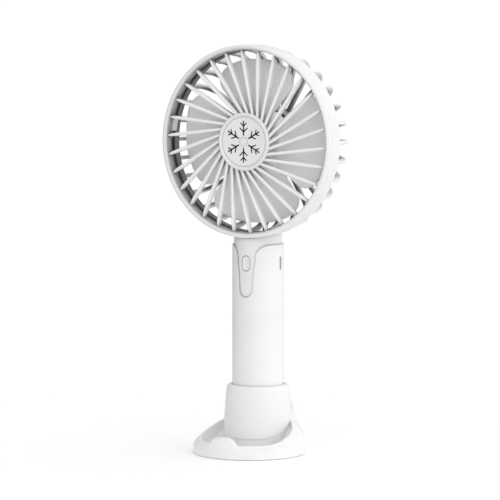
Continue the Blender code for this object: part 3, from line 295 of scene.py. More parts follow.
def metal(name, colour, roughness, stretch):
    """Drawn or turned metal: streaks along one axis in the gloss and the relief."""
    made, tree, shader = shader_of(name)
    place = tree.nodes.new("ShaderNodeTexCoord").outputs["Object"]
    mapping = tree.nodes.new("ShaderNodeMapping")
    mapping.inputs["Scale"].default_value = stretch
    noise = tree.nodes.new("ShaderNodeTexNoise")
    noise.inputs["Scale"].default_value = 900.0
    noise.inputs["Detail"].default_value = 4.0
    tree.links.new(place, mapping.inputs["Vector"])
    tree.links.new(mapping.outputs["Vector"], noise.inputs["Vector"])
    gloss = tree.nodes.new("ShaderNodeMapRange")
    gloss.inputs["To Min"].default_value = roughness - 0.08
    gloss.inputs["To Max"].default_value = roughness + 0.12
    tree.links.new(noise.outputs["Fac"], gloss.inputs["Value"])
    tree.links.new(gloss.outputs["Result"], shader.inputs["Roughness"])
    bump = tree.nodes.new("ShaderNodeBump")
    bump.inputs["Strength"].default_value = 0.2
    bump.inputs["Distance"].default_value = 0.02 * MM
    tree.links.new(noise.outputs["Fac"], bump.inputs["Height"])
    tree.links.new(bump.outputs["Normal"], shader.inputs["Normal"])
    shader.inputs["Base Color"].default_value = (*colour, 1.0)
    shader.inputs["Metallic"].default_value = 1.0
    return made


def wound(name, colour):
    """Enamelled wire laid in rows: a fine ridge every half millimetre, with painted shade in the valleys
    between the ridges.
    """
    made, tree, shader = shader_of(name)
    place = tree.nodes.new("ShaderNodeTexCoord").outputs["Object"]
    rows = tree.nodes.new("ShaderNodeTexWave")
    rows.bands_direction = "Z"
    rows.inputs["Scale"].default_value = 320.0
    rows.inputs["Distortion"].default_value = 1.0
    tree.links.new(place, rows.inputs["Vector"])
    # Painted shade: the colour is darker in the valleys between the ridges.
    ramp = tree.nodes.new("ShaderNodeValToRGB")
    ramp.color_ramp.elements[0].color = (*[c * 0.55 for c in colour], 1.0)
    ramp.color_ramp.elements[1].color = (*colour, 1.0)
    tree.links.new(rows.outputs["Fac"], ramp.inputs["Fac"])
    tree.links.new(ramp.outputs["Color"], shader.inputs["Base Color"])
    bump = tree.nodes.new("ShaderNodeBump")
    bump.inputs["Strength"].default_value = 0.6
    bump.inputs["Distance"].default_value = 0.1 * MM
    tree.links.new(rows.outputs["Fac"], bump.inputs["Height"])
    tree.links.new(bump.outputs["Normal"], shader.inputs["Normal"])
    shader.inputs["Metallic"].default_value = 0.8
    shader.inputs["Roughness"].default_value = 0.35
    return made


# Copies of one white plastic that differ in how much shade is painted into their recesses: strongest on the
# ribs, the rim, the shell and the spokes, none on the dock. The spokes' copy is also painted lighter than the
# rest of the grille.
WHITE = moulded("satin_white", (0.86, 0.86, 0.862), 0.34, shade=0.85)
SHELL = moulded("satin_white_shell_painted_shade", (0.86, 0.86, 0.862), 0.34, shade=0.4)
RIBS = moulded("satin_white_ribs_painted_shade", (0.86, 0.86, 0.862), 0.38, shade=0.05, reach=40.0, rim_shade=1.0)
RIM = moulded("satin_white_rim_painted_shade", (0.86, 0.86, 0.862), 0.34, shade=0.1, reach=70.0, deepest=0.22)
DOCK = moulded("satin_white_dock", (0.86, 0.86, 0.862), 0.34, shade=1.0)
SPOKES = moulded("satin_white_spokes_painted_light_and_shade", (0.95, 0.95, 0.952), 0.26, shade=0.35, reach=6.0, deepest=0.35)
BLADES = moulded("blade_white", (0.95, 0.955, 0.96), 0.3, grain=0.8)
BADGE = moulded("badge_white", (0.9, 0.9, 0.902), 0.24, relief=0.015)
INK = moulded("badge_ink", (0.012, 0.012, 0.013), 0.5)
HAIRLINE = moulded("badge_hairline", (0.5, 0.5, 0.505), 0.5)
LOOKS = {
    "white_plastic": WHITE,
    "impeller_plastic": BLADES,
    "badge_plastic": BADGE,
    "rubber": moulded("grip_rubber", (0.55, 0.55, 0.55), 0.85, grain=0.9, relief=0.15, mottle=0.06),
    "steel": metal("drawn_steel", (0.62, 0.63, 0.65), 0.32, (1.0, 1.0, 0.06)),
    "brass": metal("turned_brass", (0.78, 0.6, 0.3), 0.35, (1.0, 0.06, 1.0)),
    "magnet": moulded("ferrite", (0.1, 0.1, 0.11), 0.6, mottle=0.2),
    "copper": wound("copper_winding", (0.72, 0.36, 0.18)),
    "circuit_board": moulded("solder_mask", (0.05, 0.24, 0.12), 0.4, grain=1.5, mottle=0.15, coat=0.3),
    "black_plastic": moulded("black_moulding", (0.04, 0.04, 0.045), 0.5, mottle=0.1),
    "cell_wrap": moulded("cell_shrink_wrap", (0.12, 0.3, 0.58), 0.3, mottle=0.05, coat=0.4),
    "red_insulation": moulded("red_silicone", (0.28, 0.03, 0.025), 0.55, mottle=0.08),
    "black_insulation": moulded("black_silicone", (0.05, 0.05, 0.05), 0.55, mottle=0.08),
}
for row in frame["record"]["subparts"]:
    mesh = frame["nodes"][row["node"]].data
    mesh.materials.clear()
    mesh.materials.append(LOOKS[row["material_slot"]])


# ---------------------------------------------------------------- mesh helpers

def finished(name, bm, place=None):
    mesh = bpy.data.meshes.new(name)
    bmesh.ops.recalc_face_normals(bm, faces=bm.faces)
    bm.to_mesh(mesh)
    bm.free()
    if place is not None:
        mesh.transform(place)
    obj = bpy.data.objects.new(name, mesh)
    bpy.context.scene.collection.objects.link(obj)
    return obj


def soften(points, radius, closed=True, segments=3):
    """Round the corners of a profile, each by at most 0.45 of its shorter side."""
    soft = []
    count = len(points)
    for i, point in enumerate(points):
        ends = not closed and i in (0, count - 1)
        here = Vector(point[:2])
        before = Vector(points[i - 1][:2])
        after = Vector(points[(i + 1) % count][:2])
        if ends:
            soft.append(tuple(here))
            continue
        back = before - here
        ahead = after - here
        turn = math.pi - back.angle(ahead)
        if turn < math.radians(8):
            soft.append(tuple(here))
            continue
        reach = min(radius * math.tan(turn / 2), 0.45 * back.length, 0.45 * ahead.length)
        start = here + back.normalized() * reach
        end = here + ahead.normalized() * reach
        for step in range(segments + 1):
            t = step / segments
            soft.append(tuple(start * (1 - t) ** 2 + here * 2 * t * (1 - t) + end * t**2))
    return soft


def lathe(name, profile, steps, place=None, closed=True):
    """Turn (radius, height) points about Z. An open profile starts and ends on the axis."""
    bm = bmesh.new()
    rings = []
    for radius, height in profile:
        if radius < 1e-6:
            rings.append([bm.verts.new((0.0, 0.0, height * MM))])
            continue
        turns = [2 * math.pi * (i + 0.5) / steps for i in range(steps)]
        rings.append([bm.verts.new(Vector((radius * math.cos(turn), radius * math.sin(turn), height)) * MM)
                      for turn in turns])
    pairs = list(zip(rings, rings[1:])) + ([(rings[-1], rings[0])] if closed else [])
    for low, high in pairs:
        for i in range(steps):
            j = (i + 1) % steps
            corners = [low[i % len(low)], low[j % len(low)], high[j % len(high)], high[i % len(high)]]
            face = list(dict.fromkeys(corners))
            if len(face) > 2:
                bm.faces.new(face)
    return finished(name, bm, place)


def loft(bm, rings, caps=True, closed=True):
    """Join rings of equally many vertices with quads, and close both ends."""
    count = len(rings[0])
    for low, high in zip(rings, rings[1:]):
        for i in range(count if closed else count - 1):
            j = (i + 1) % count
            bm.faces.new((low[i], low[j], high[j], high[i]))
    if caps:
        bm.faces.new(list(reversed(rings[0])))
        bm.faces.new(rings[-1])


def plate(name, outline, low, high, place=None):
    """A flat XY outline, extruded from low to high along Z, then placed by a matrix."""
    bm = bmesh.new()
    loft(bm, [[bm.verts.new((x * MM, y * MM, z * MM)) for x, y in outline] for z in (low, high)])
    return finished(name, bm, place)


def cube(name, size, centre, place=None):
    bm = bmesh.new()
    bmesh.ops.create_cube(bm, size=1.0)
    bm.transform(Matrix.Translation(Vector(centre) * MM) @ Matrix.Diagonal([*(Vector(size) * MM), 1.0]))
    return finished(name, bm, place)


def cut(target, other, operation="DIFFERENCE"):
    """Apply a boolean at once, and remove the cutter."""
    modifier = target.modifiers.new("cut", "BOOLEAN")
    modifier.operation = operation
    modifier.object = other
    settle(target)
    bpy.data.objects.remove(other, do_unlink=True)
    return target


def settle(obj):
    """Turn an object's modifiers into its mesh."""
    bpy.context.view_layer.update()
    evaluated = obj.evaluated_get(bpy.context.evaluated_depsgraph_get())
    mesh = bpy.data.meshes.new_from_object(evaluated)
    obj.modifiers.clear()
    obj.data = mesh
    return obj


def ease(obj, width, angle=35.0):
    """Round an object's sharp edges."""
    bevel = obj.modifiers.new("edges", "BEVEL")
    bevel.width = width * MM
    bevel.segments = 2
    bevel.limit_method = "ANGLE"
    bevel.angle_limit = math.radians(angle)
    return settle(obj)


def dress(obj, finish, body, slot, *nodes, sharp=38.0):
    """Shade, finish and attach a piece, and let it stand for CAD nodes."""
    mesh = obj.data
    if not mesh.materials:
        mesh.materials.append(finish)
    mesh.shade_smooth()
    mesh.set_sharp_from_angle(angle=math.radians(sharp))
    weighted = obj.modifiers.new("weighted", "WEIGHTED_NORMAL")
    weighted.keep_sharp = True
    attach(obj, body)
    if nodes:
        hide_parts(*nodes)
    return obj


def arc(centre, radii, start, end, count):
    angles = [math.radians(start + (end - start) * step / count) for step in range(count + 1)]
    return [(centre[0] + radii[0] * math.cos(a), centre[1] + radii[1] * math.sin(a)) for a in angles]


def pill(width, height, steps=16):
    radius = width / 2
    straight = height / 2 - radius
    top = arc((0.0, straight), (radius, radius), 0.0, 180.0, steps)
    bottom = arc((0.0, -straight), (radius, radius), 180.0, 360.0, steps)
    return top + bottom


def clockwise(angle):
    return Matrix.Rotation(-math.radians(angle), 4, "Z")


def polar(radius, angle, depth=0.0):
    """A place in the head's frame: angle runs clockwise from the top, seen from the front."""
    turn = math.radians(angle)
    return Vector((radius * math.sin(turn), radius * math.cos(turn), -depth))


def interpolate(table, place, column=1):
    """Read a column of a table at a place between its rows, along a smooth curve."""
    for i, (low, high) in enumerate(zip(table, table[1:])):
        if place <= high[0]:
            t = max(0.0, (place - low[0]) / (high[0] - low[0]))
            before = table[max(0, i - 1)]
            after = table[min(len(table) - 1, i + 2)]
            width = high[0] - low[0]
            start = (high[column] - before[column]) / (high[0] - before[0]) * width
            end = (after[column] - low[column]) / (after[0] - low[0]) * width
            return ((2 * t**3 - 3 * t**2 + 1) * low[column] + (t**3 - 2 * t**2 + t) * start
                    + (3 * t**2 - 2 * t**3) * high[column] + (t**3 - t**2) * end)
    return table[-1][column]


# ---------------------------------------------------------------- front grille

def front_ring():
    lip = RING_DEPTH
    ring = lathe("front_ring", soften([
        (51.4, 0.0), (HEAD_RADIUS, -0.9), (HEAD_RADIUS, -lip - 0.15), (HEAD_RADIUS - 0.12, -lip - 0.24),
        (SHROUD_BORE - GAP, -lip - 0.24), (SHROUD_BORE - GAP, -5.6), (49.3, -5.6), (49.5, -4.4),
        (RING_OPENING, -1.2), (50.7, -0.1),
    ], 0.6), FINE, HEAD)
    dress(ring, RIM, "grille", "white_plastic", "front_grille")


def front_spokes():
    """Straight bars with rounded fronts, which taper and dive under the ring."""
    section = [(-0.5, -1.0), (-0.5, -0.3), (-0.42, -0.13), (-0.24, -0.03), (0.0, 0.0), (0.24, -0.03),
               (0.42, -0.13), (0.5, -0.3), (0.5, -1.0)]
    stations = [(0.0, 1.0, 1.0, -0.2), (0.3, 1.0, 1.0, -0.35), (0.6, 1.0, 1.0, -0.55), (0.8, 0.97, 1.0, -0.8),
                (0.9, 0.88, 0.95, -1.1), (0.96, 0.72, 0.85, -1.6), (1.0, 0.5, 0.7, -2.2)]
    bm = bmesh.new()
    for number in range(SPOKE_COUNT):
        rim_angle = FIRST_SPOKE + 360.0 / SPOKE_COUNT * number
        hub_end = polar(HUB_RADIUS - 0.6, rim_angle + SPOKE_TWIST)
        rim_end = polar(RING_OPENING + 0.3, rim_angle)
        along = (rim_end - hub_end).normalized()
        across = Vector((-along.y, along.x, 0.0))
        rings = []
        for place, width, depth, front in stations:
            middle = hub_end.lerp(rim_end, place)
            rings.append([bm.verts.new((middle + across * x * SPOKE_WIDTH * width
                                        + Vector((0, 0, front + z * SPOKE_DEPTH * depth))) * MM)
                          for x, z in section])
        loft(bm, rings)
    for angle in LUG_ANGLES:
        turn = clockwise(angle) @ Matrix.Rotation(math.radians(90), 4, "Z") @ UPRIGHT
        loft(bm, [[bm.verts.new(turn @ Vector((x * MM, y * MM, side * MM))) for x, y in LUG_HOOK]
                  for side in (-LUG_HALF_WIDTH, LUG_HALF_WIDTH)])
    dress(finished("front_spokes", bm, HEAD), SPOKES, "grille", "white_plastic", sharp=50.0)


def front_hub():
    hub = lathe("front_hub", soften([
        (0.0, -1.2), (BADGE_RADIUS + 0.1, -1.2), (BADGE_RADIUS + 0.1, 0.0), (14.3, HUB_PROUD),
        (15.1, HUB_PROUD), (HUB_RADIUS, 0.1), (HUB_RADIUS, -4.6), (14.6, -4.6), (14.6, -2.4), (0.0, -2.4),
    ], 0.5, closed=False), FINE, HEAD, closed=False)
    dress(hub, WHITE, "grille", "white_plastic")


def badge():
    disc = lathe("hub_badge_disc", soften([
        (0.0, 0.1), (6.0, 0.12), (11.6, 0.17), (12.6, 0.3), (13.2, 0.15), (BADGE_RADIUS, -0.15),
        (BADGE_RADIUS, -0.9), (0.0, -0.9),
    ], 0.6, closed=False), FINE, HEAD, closed=False)
    dress(disc, BADGE, "grille", "badge_plastic", "hub_badge")
    height = Matrix.Translation((0, 0, 0.14 * MM))
    bm = bmesh.new()
    middle = (FLAKE_ARM[0] + FLAKE_ARM[1]) / 2
    for number in range(6):
        arm = height @ Matrix.Rotation(math.radians(60 * number), 4, "Z")
        flat_bar(bm, FLAKE_ARM[1] - FLAKE_ARM[0], FLAKE_GROOVE, arm @ Matrix.Translation((0, middle * MM, 0)))
        for distance, length in FLAKE_FORKS:
            for side in (-1, 1):
                fork = Matrix.Rotation(math.radians(FLAKE_FORK_ANGLE * side), 4, "Z")
                reach = Matrix.Translation((0, length / 2 * MM, 0))
                start = Matrix.Translation((0, distance * MM, 0))
                flat_bar(bm, length, FLAKE_GROOVE * 0.85, arm @ start @ fork @ reach)
    dress(finished("badge_snowflake", bm, HEAD), INK, "grille", "badge_plastic")
    bm = bmesh.new()
    for number in range(6):
        edge = Matrix.Rotation(math.radians(60 * number), 4, "Z")
        reach = FLAKE_HEXAGON * math.cos(math.radians(30))
        out = Matrix.Translation((0, reach * MM, 0))
        across = Matrix.Rotation(math.radians(90), 4, "Z")
        flat_bar(bm, FLAKE_HEXAGON, HEXAGON_LINE, height @ edge @ out @ across)
    dress(finished("badge_hexagon", bm, HEAD), HAIRLINE, "grille", "badge_plastic")


def flat_bar(bm, length, width, place):
    """A thin inlaid bar along Y with rounded ends, standing a hair above the badge's face."""
    outline = pill(width, length + width * 0.6, 5)
    loft(bm, [[bm.verts.new(place @ Vector((x * MM, y * MM, z * MM))) for x, y in outline]
              for z in (-0.3, 0.03)])


# ---------------------------------------------------------------- impeller

def blade_half_angle(radius):
    start = BLADE_TIP - BLADE_CORNER
    if radius <= start:
        return BLADE_HALF_ANGLE
    into = (radius - start) / BLADE_CORNER
    corner = math.degrees(BLADE_CORNER / BLADE_TIP) * 1.2
    return BLADE_HALF_ANGLE - corner * (1.0 - math.sqrt(max(0.0, 1.0 - into**2)))


def impeller():
    front = -IMPELLER_FRONT
    hub = lathe("impeller_hub", soften([
        (0.0, front), (15.6, front), (IMPELLER_HUB, front - 1.8), (IMPELLER_HUB, -IMPELLER_BACK),
        (16.2, -IMPELLER_BACK), (16.2, front - 1.8), (3.0, front - 1.8), (3.0, -15.0),
        (SHAFT_RADIUS + GAP, -15.0), (SHAFT_RADIUS + GAP, front - 1.8), (0.0, front - 1.8),
    ], 1.2, closed=False), MEDIUM, HEAD, closed=False)
    dress(hub, BLADES, "rotor", "impeller_plastic", "impeller")
    along = 26
    across = 22
    bm = bmesh.new()
    for number in range(BLADE_COUNT):
        middle = 90.0 + 360.0 / BLADE_COUNT * number
        rows = []
        for i in range(along + 1):
            reach = i / along
            radius = BLADE_ROOT + (BLADE_TIP - BLADE_ROOT) * math.sin(reach * math.pi / 2)
            share = (radius - BLADE_ROOT) / (BLADE_TIP - BLADE_ROOT)
            rise = BLADE_RISE[0] + (BLADE_RISE[1] - BLADE_RISE[0]) * share
            row = []
            for j in range(across + 1):
                side = 2.0 * j / across - 1.0
                angle = middle + side * blade_half_angle(radius)
                row.append(bm.verts.new(polar(radius, angle, BLADE_MID_DEPTH - side * rise) * MM))
            rows.append(row)
        loft(bm, rows, caps=False, closed=False)
    sheet = finished("impeller_blades", bm, HEAD)
    solid = sheet.modifiers.new("thickness", "SOLIDIFY")
    solid.thickness = BLADE_THICKNESS * MM
    solid.offset = 0.0
    settle(sheet)
    ease(sheet, 0.35, 60.0)
    dress(sheet, BLADES, "rotor", "impeller_plastic")


# ---------------------------------------------------------------- rear of the head

def rear_grille():
    spigot = lathe("rear_spigot", soften([
        (SHROUD_BORE - GAP, -FLANGE_DEPTHS[1] - 1.8), (SHROUD_BORE - GAP, -SHROUD_BACK),
        (SPIGOT_BORE, -SHROUD_BACK), (SPIGOT_BORE, -FLANGE_DEPTHS[1] - 1.8),
    ], 0.3), FINE, HEAD)
    dress(spigot, RIM, "fan", "white_plastic", "rear_grille")
    seat = lathe("rear_seat", soften([
        (18.0, -24.0), (REAR_HUB, -24.5), (REAR_HUB, 0.4 - HEAD_DEPTH), (18.1, 0.2 - HEAD_DEPTH),
        (16.6, 0.2 - HEAD_DEPTH), (16.6, -25.4), (3.7, -25.4), (3.7, -24.0),
    ], 0.3), FINE, HEAD)
    radius, depth = LEAD_HOLE
    hole = lathe("lead_hole", [(0.0, 12.0), (radius, 12.0), (radius, 21.0), (0.0, 21.0)], SMALL,
                 HEAD @ Matrix.Translation((0, 0, -depth * MM)) @ UPRIGHT, closed=False)
    cut(seat, hole)
    dress(seat, RIBS, "fan", "white_plastic")
    dress(ribs(), RIBS, "fan", "white_plastic", sharp=50.0)
    back = -HEAD_DEPTH
    cap = lathe("rear_cap_disc", soften([
        (0.0, back + 2.0), (16.3, back + 2.0), (16.3, back + 0.35), (15.9, back), (10.2, back),
        (10.0, back + 0.15), (9.8, back), (0.0, back),
    ], 0.2, closed=False), FINE, HEAD, closed=False)
    dress(cap, WHITE, "fan", "white_plastic", "rear_cap")


def ribs():
    """Bars with rounded edges that run back from the shroud, round the shoulder and in to the seat."""
    x, z = RIB_SHOULDER
    steps = 18
    outer = arc((x, -z), (RIB_TIP - x, HEAD_DEPTH - z), 0.0, -90.0, steps)
    inner = arc((x, -z), (RIB_TIP - x - RIB_SECTION, HEAD_DEPTH - z - RIB_SECTION), 0.0, -90.0, steps)
    start = -SHROUD_BACK - 0.05
    outer = [(RIB_TIP, start), *outer, (17.4, -HEAD_DEPTH)]
    inner = [(SPIGOT_BORE + 0.1, start), *inner, (17.4, RIB_SECTION - HEAD_DEPTH)]
    section = [(0.0, -0.62), (0.04, -0.86), (0.14, -1.0), (0.84, -1.0), (0.95, -0.8), (1.0, -0.45),
               (1.0, 0.45), (0.95, 0.8), (0.84, 1.0), (0.14, 1.0), (0.04, 0.86), (0.0, 0.62)]
    half = RIB_THICKNESS / 2
    bm = bmesh.new()
    for number in range(RIB_COUNT):
        turn = clockwise(360.0 / RIB_COUNT * number)
        rings = []
        for (out_r, out_z), (in_r, in_z) in zip(outer, inner):
            places = [Vector((in_r + (out_r - in_r) * u, side * half, in_z + (out_z - in_z) * u))
                      for u, side in section]
            rings.append([bm.verts.new(turn @ (place * MM)) for place in places])
        loft(bm, rings)
    return finished("rear_ribs", bm, HEAD)


# ---------------------------------------------------------------- housing and handle

def tongue_outline(inset=0.0):
    """The cut-out round the button, seen from the front: a U that flares out at the top."""
    radius = 4.3 - inset
    flare_z = TONGUE_FLARE[1]
    right = [(4.9 - inset, TONGUE_BOTTOM + 12.4), (5.35 - inset, TONGUE_BOTTOM + 16.2),
             (5.8 - inset, TONGUE_BOTTOM + 19.4)]
    right += arc(TONGUE_FLARE, (7.6 + inset, SLEEVE_TOP - flare_z + inset), 175, 90, 20)
    right += [(18.0, SLEEVE_TOP + inset), (18.0, SLEEVE_TOP + 5.0)]
    left = [(-x, z) for x, z in reversed(right)]
    return arc((0.0, TONGUE_BOTTOM + 4.3), (radius, radius), 180, 360, 28) + right + left


def housing():
    core = lathe("head_shell", [
        (0.0, NECK_TOP), (NECK_RADIUS, NECK_TOP), (NECK_RADIUS, SLEEVE_BOTTOM + GAP),
        (CORE_BORE, SLEEVE_BOTTOM + GAP), (CORE_BORE, SLEEVE_TOP - GAP), (0.0, SLEEVE_TOP - GAP),
    ], MEDIUM, closed=False)
    top = SLEEVE_TOP + 0.08
    for inner, outer, gap in ((GROOVE_FLOOR, SLEEVE_RADIUS + 2.0, TONGUE_GAP),
                              (CORE_RADIUS, GROOVE_FLOOR + 0.01, 0.06)):
        space = lathe("sleeve_space", [
            (outer, top), (outer, SLEEVE_BOTTOM), (inner, SLEEVE_BOTTOM), (inner, top),
        ], MEDIUM)
        cut(space, plate("tongue_shape", tongue_outline(gap), *HANDLE_FRONT, UPRIGHT))
        cut(core, space)
    inside = (HEAD_RADIUS + SHROUD_BORE) / 2
    clearance = lathe("head_clearance", [
        (0.0, HEAD_FRONT), (HEAD_RADIUS + GAP, HEAD_FRONT), (HEAD_RADIUS + GAP, -RING_DEPTH - GAP),
        (inside, -RING_DEPTH - GAP), (inside, 1.7 - SHROUD_BACK), (RIB_TIP + GAP, 1.7 - SHROUD_BACK),
        (RIB_TIP + GAP, HEAD_BACK), (0.0, HEAD_BACK),
    ], FINE, HEAD, closed=False)
    cut(core, clearance)
    width, height = BUTTON_SIZE
    cut(core, plate("button_hole", pill(width + 2 * BUTTON_GAP, height + 2 * BUTTON_GAP), 5.0, 16.0,
                    Matrix.Translation((0, 0, BUTTON_HEIGHT * MM)) @ UPRIGHT))
    cut(core, cube("core_slot", (10.0, *SOCKET_SLOT), (13.0, 0.0, SOCKET_HEIGHT)))
    radius, behind = LEAD_WAY
    way = [(0.0, NECK_TOP), (radius, NECK_TOP), (radius, LEAD_WAY_LOW), (0.0, LEAD_WAY_LOW)]
    cut(core, lathe("lead_way", way, SMALL, Matrix.Translation((0, behind * MM, 0)), closed=False))
    ease(core, 0.15)
    dress(core, SHELL, "fan", "white_plastic", "head_housing")
    front, back = FLANGE_DEPTHS
    ring = lathe("shroud_ring", soften([
        (HEAD_RADIUS - 0.1, -RING_DEPTH - GAP), (HEAD_RADIUS, -RING_DEPTH - GAP - 0.1),
        (HEAD_RADIUS, 0.6 - SHROUD_BACK), (51.9, -SHROUD_BACK),
        (SHROUD_BORE, -SHROUD_BACK), (SHROUD_BORE, -back), (FLANGE_BORE, -back), (FLANGE_BORE, -front),
        (SHROUD_BORE, -front), (SHROUD_BORE, -RING_DEPTH - GAP),
    ], 0.3), FINE, HEAD)
    for angle in LUG_ANGLES:
        turn = Matrix.Rotation(math.radians(TWIST_DEGREES - angle), 4, "Z")
        cut(ring, cube("lug_notch", LUG_NOTCH, (0, LUG_NOTCH_RADIUS, -(front + back) / 2), HEAD @ turn))
    dress(ring, RIM, "fan", "white_plastic")


def sleeve():
    body = lathe("sleeve_shell", soften([
        (SLEEVE_RADIUS, SLEEVE_TOP), (SLEEVE_RADIUS, SLEEVE_BOTTOM), (SLEEVE_BORE, SLEEVE_BOTTOM),
        (SLEEVE_BORE, SLEEVE_TOP),
    ], 0.35), MEDIUM)
    cut(body, plate("sleeve_cutout", tongue_outline(), *HANDLE_FRONT, UPRIGHT))
    slot = pill(SOCKET_SLOT[0], SOCKET_SLOT[1], 6)
    place = Matrix.Translation((0, 0, SOCKET_HEIGHT * MM)) @ SIDEWAYS
    cut(body, plate("sleeve_slot", slot, 8.0, 18.0, place))
    ease(body, 0.3)
    dress(body, WHITE, "fan", "white_plastic", "handle_sleeve")


def button():
    """The cap with a rounded face; its flange and stem stay hidden inside."""
    place = Matrix.Translation((0, BUTTON_FACE_Y * MM, BUTTON_HEIGHT * MM)) @ UPRIGHT
    bm = bmesh.new()
    rings = []
    for height, inset in ((-3.6, 0.0), (-0.4, 0.0), (-0.15, 0.1), (0.0, 0.35), (-0.05, 0.6), (-0.22, 0.85),
                          (-0.36, 1.1), (-0.4, 1.5)):
        outline = pill(BUTTON_SIZE[0] - 2 * inset, BUTTON_SIZE[1] - 2 * inset)
        rings.append([bm.verts.new((x * MM, y * MM, height * MM)) for x, y in outline])
    loft(bm, rings)
    wide = pill(BUTTON_SIZE[0] + 2.2, BUTTON_SIZE[1] + 2.2)
    loft(bm, [[bm.verts.new((x * MM, y * MM, height * MM)) for x, y in wide] for height in (-4.5, -3.5)])
    stem = arc((0.0, 0.0), (1.4, 1.4), 0.0, 345.0, 23)
    loft(bm, [[bm.verts.new((x * MM, y * MM, height * MM)) for x, y in stem] for height in (-10.1, -4.0)])
    dress(finished("button_cap", bm, place), WHITE, "button", "white_plastic", "power_button")


# ---------------------------------------------------------------- dock

def rim_height(y):
    return interpolate(RIM_HEIGHT, y)


def rim_outline(inset=0.0, back=RIM_BACK_RADIUS):
    points = []
    for step in range(FINE):
        turn = 2 * math.pi * step / FINE
        x = (RIM_HALF[0] - inset) * math.cos(turn)
        y = RIM_CENTRE_Y + (RIM_HALF[1] - inset) * math.sin(turn)
        if back and y > 0.0 and math.hypot(x, y) < back:
            angle = math.atan2(max(0.0, y - RIM_CENTRE_Y), x)
            across = math.cos(angle)
            along = math.sin(angle)
            reach = -RIM_CENTRE_Y * along + math.sqrt(back**2 - (RIM_CENTRE_Y * across) ** 2)
            x, y = reach * across, RIM_CENTRE_Y + reach * along
        points.append((x, y))
    return points


def foot_outline(radius):
    turns = [2 * math.pi * step / FINE for step in range(FINE)]
    return [(radius * math.cos(turn), FOOT_CENTRE_Y + radius * math.sin(turn)) for turn in turns]


def wall_outline():
    points = []
    for x, y in foot_outline(FOOT_RADIUS):
        share = 1.0 - interpolate(WALL_TOP, y, 2) / FOOT_RADIUS
        points.append((x * share, FOOT_CENTRE_Y + (y - FOOT_CENTRE_Y) * share, interpolate(WALL_TOP, y)))
    return points


def raised(bm, outline, height):
    return [bm.verts.new((x * MM, y * MM, height(y) * MM)) for x, y in outline]


def top_cap(bm, ring):
    """Close a ring whose height follows Y by joining its vertices straight across in X."""
    half = len(ring) // 2
    right = [ring[(i - half // 2) % len(ring)] for i in range(half + 1)]
    left = [ring[(half + half // 2 - i) % len(ring)] for i in range(half + 1)]
    for i in range(1, half - 1):
        bm.faces.new((right[i], right[i + 1], left[i + 1], left[i]))
    bm.faces.new((right[0], right[1], left[1]))
    bm.faces.new((right[half - 1], right[half], left[half - 1]))


def foot_body():
    """Upright wall, then a skirt that leans in to the rim and bulges out towards the back."""
    bm = bmesh.new()
    wall = [Vector(p) for p in wall_outline()]
    rim = [Vector((x, y, rim_height(y))) for x, y in rim_outline()]
    rings = [
        raised(bm, foot_outline(FOOT_RADIUS - 0.5), lambda y: FOOT_BOTTOM),
        raised(bm, foot_outline(FOOT_RADIUS - 0.14), lambda y: FOOT_BOTTOM + 0.12),
        raised(bm, foot_outline(FOOT_RADIUS), lambda y: FOOT_BOTTOM + 0.5),
        [bm.verts.new((p - Vector((0, 0, 0.35))) * MM) for p in wall],
    ]
    steps = 9
    for step in range(steps + 1):
        t = 0.03 + 0.95 * step / steps
        points = []
        for low, high in zip(wall, rim):
            out = Vector((low.x - high.x, low.y - high.y, 0.0)).normalized()
            bulge = SKIRT_BULGE * min(1.0, max(0.0, (low.y + 20.0) / 25.0))
            points.append(low.lerp(high, t) + out * bulge * 4 * t * (1 - t))
        rings.append([bm.verts.new(p * MM) for p in points])
    rings.append([bm.verts.new((p + Vector((0, 0, 0.04))) * MM) for p in rim])
    loft(bm, rings, caps=False)
    bm.faces.new(list(reversed(rings[0])))
    top_cap(bm, rings[-1])
    return finished("foot_shell", bm)


def trough_floor(y):
    slope = CUP_EDGE_SLOPE * max(0.0, y - CUP_EDGE_Y)
    return TROUGH_FLOOR + slope + TROUGH_RISE * max(0.0, y - TROUGH_RISE_Y)


def trough():
    bm = bmesh.new()
    floor = raised(bm, rim_outline(RIM_WALL + 0.9, back=0.0), trough_floor)
    low = raised(bm, rim_outline(RIM_WALL + 0.5, back=0.0), lambda y: trough_floor(y) + 0.8)
    sky = raised(bm, rim_outline(RIM_WALL, back=0.0), lambda y: FAR_UP)
    loft(bm, [floor, low, sky], caps=False)
    bm.faces.new(sky)
    top_cap(bm, floor)
    return finished("foot_trough", bm)


def hill():
    right = [(13.0, 2.6), (11.6, 3.6), (10.4, 4.8), (9.1, 6.2), (7.8, 7.7), (6.9, 8.8), (6.2, 9.5),
             (5.2, 10.5), (3.9, 11.35), (2.4, 11.8), (0.8, 11.9)]
    outline = right + [(-x, z) for x, z in reversed(right)]
    stop = plate("foot_stop", outline, HILL_BACK, 45.0, UPRIGHT)
    limit = lathe("foot_stop_limit", [
        (0.0, 20.0), (FOOT_RADIUS - 0.13, 20.0), (FOOT_RADIUS - 0.13, 0.0), (0.0, 0.0),
    ], FINE, Matrix.Translation((0.0, FOOT_CENTRE_Y * MM, 0.0)), closed=False)
    return cut(stop, limit, "INTERSECT")


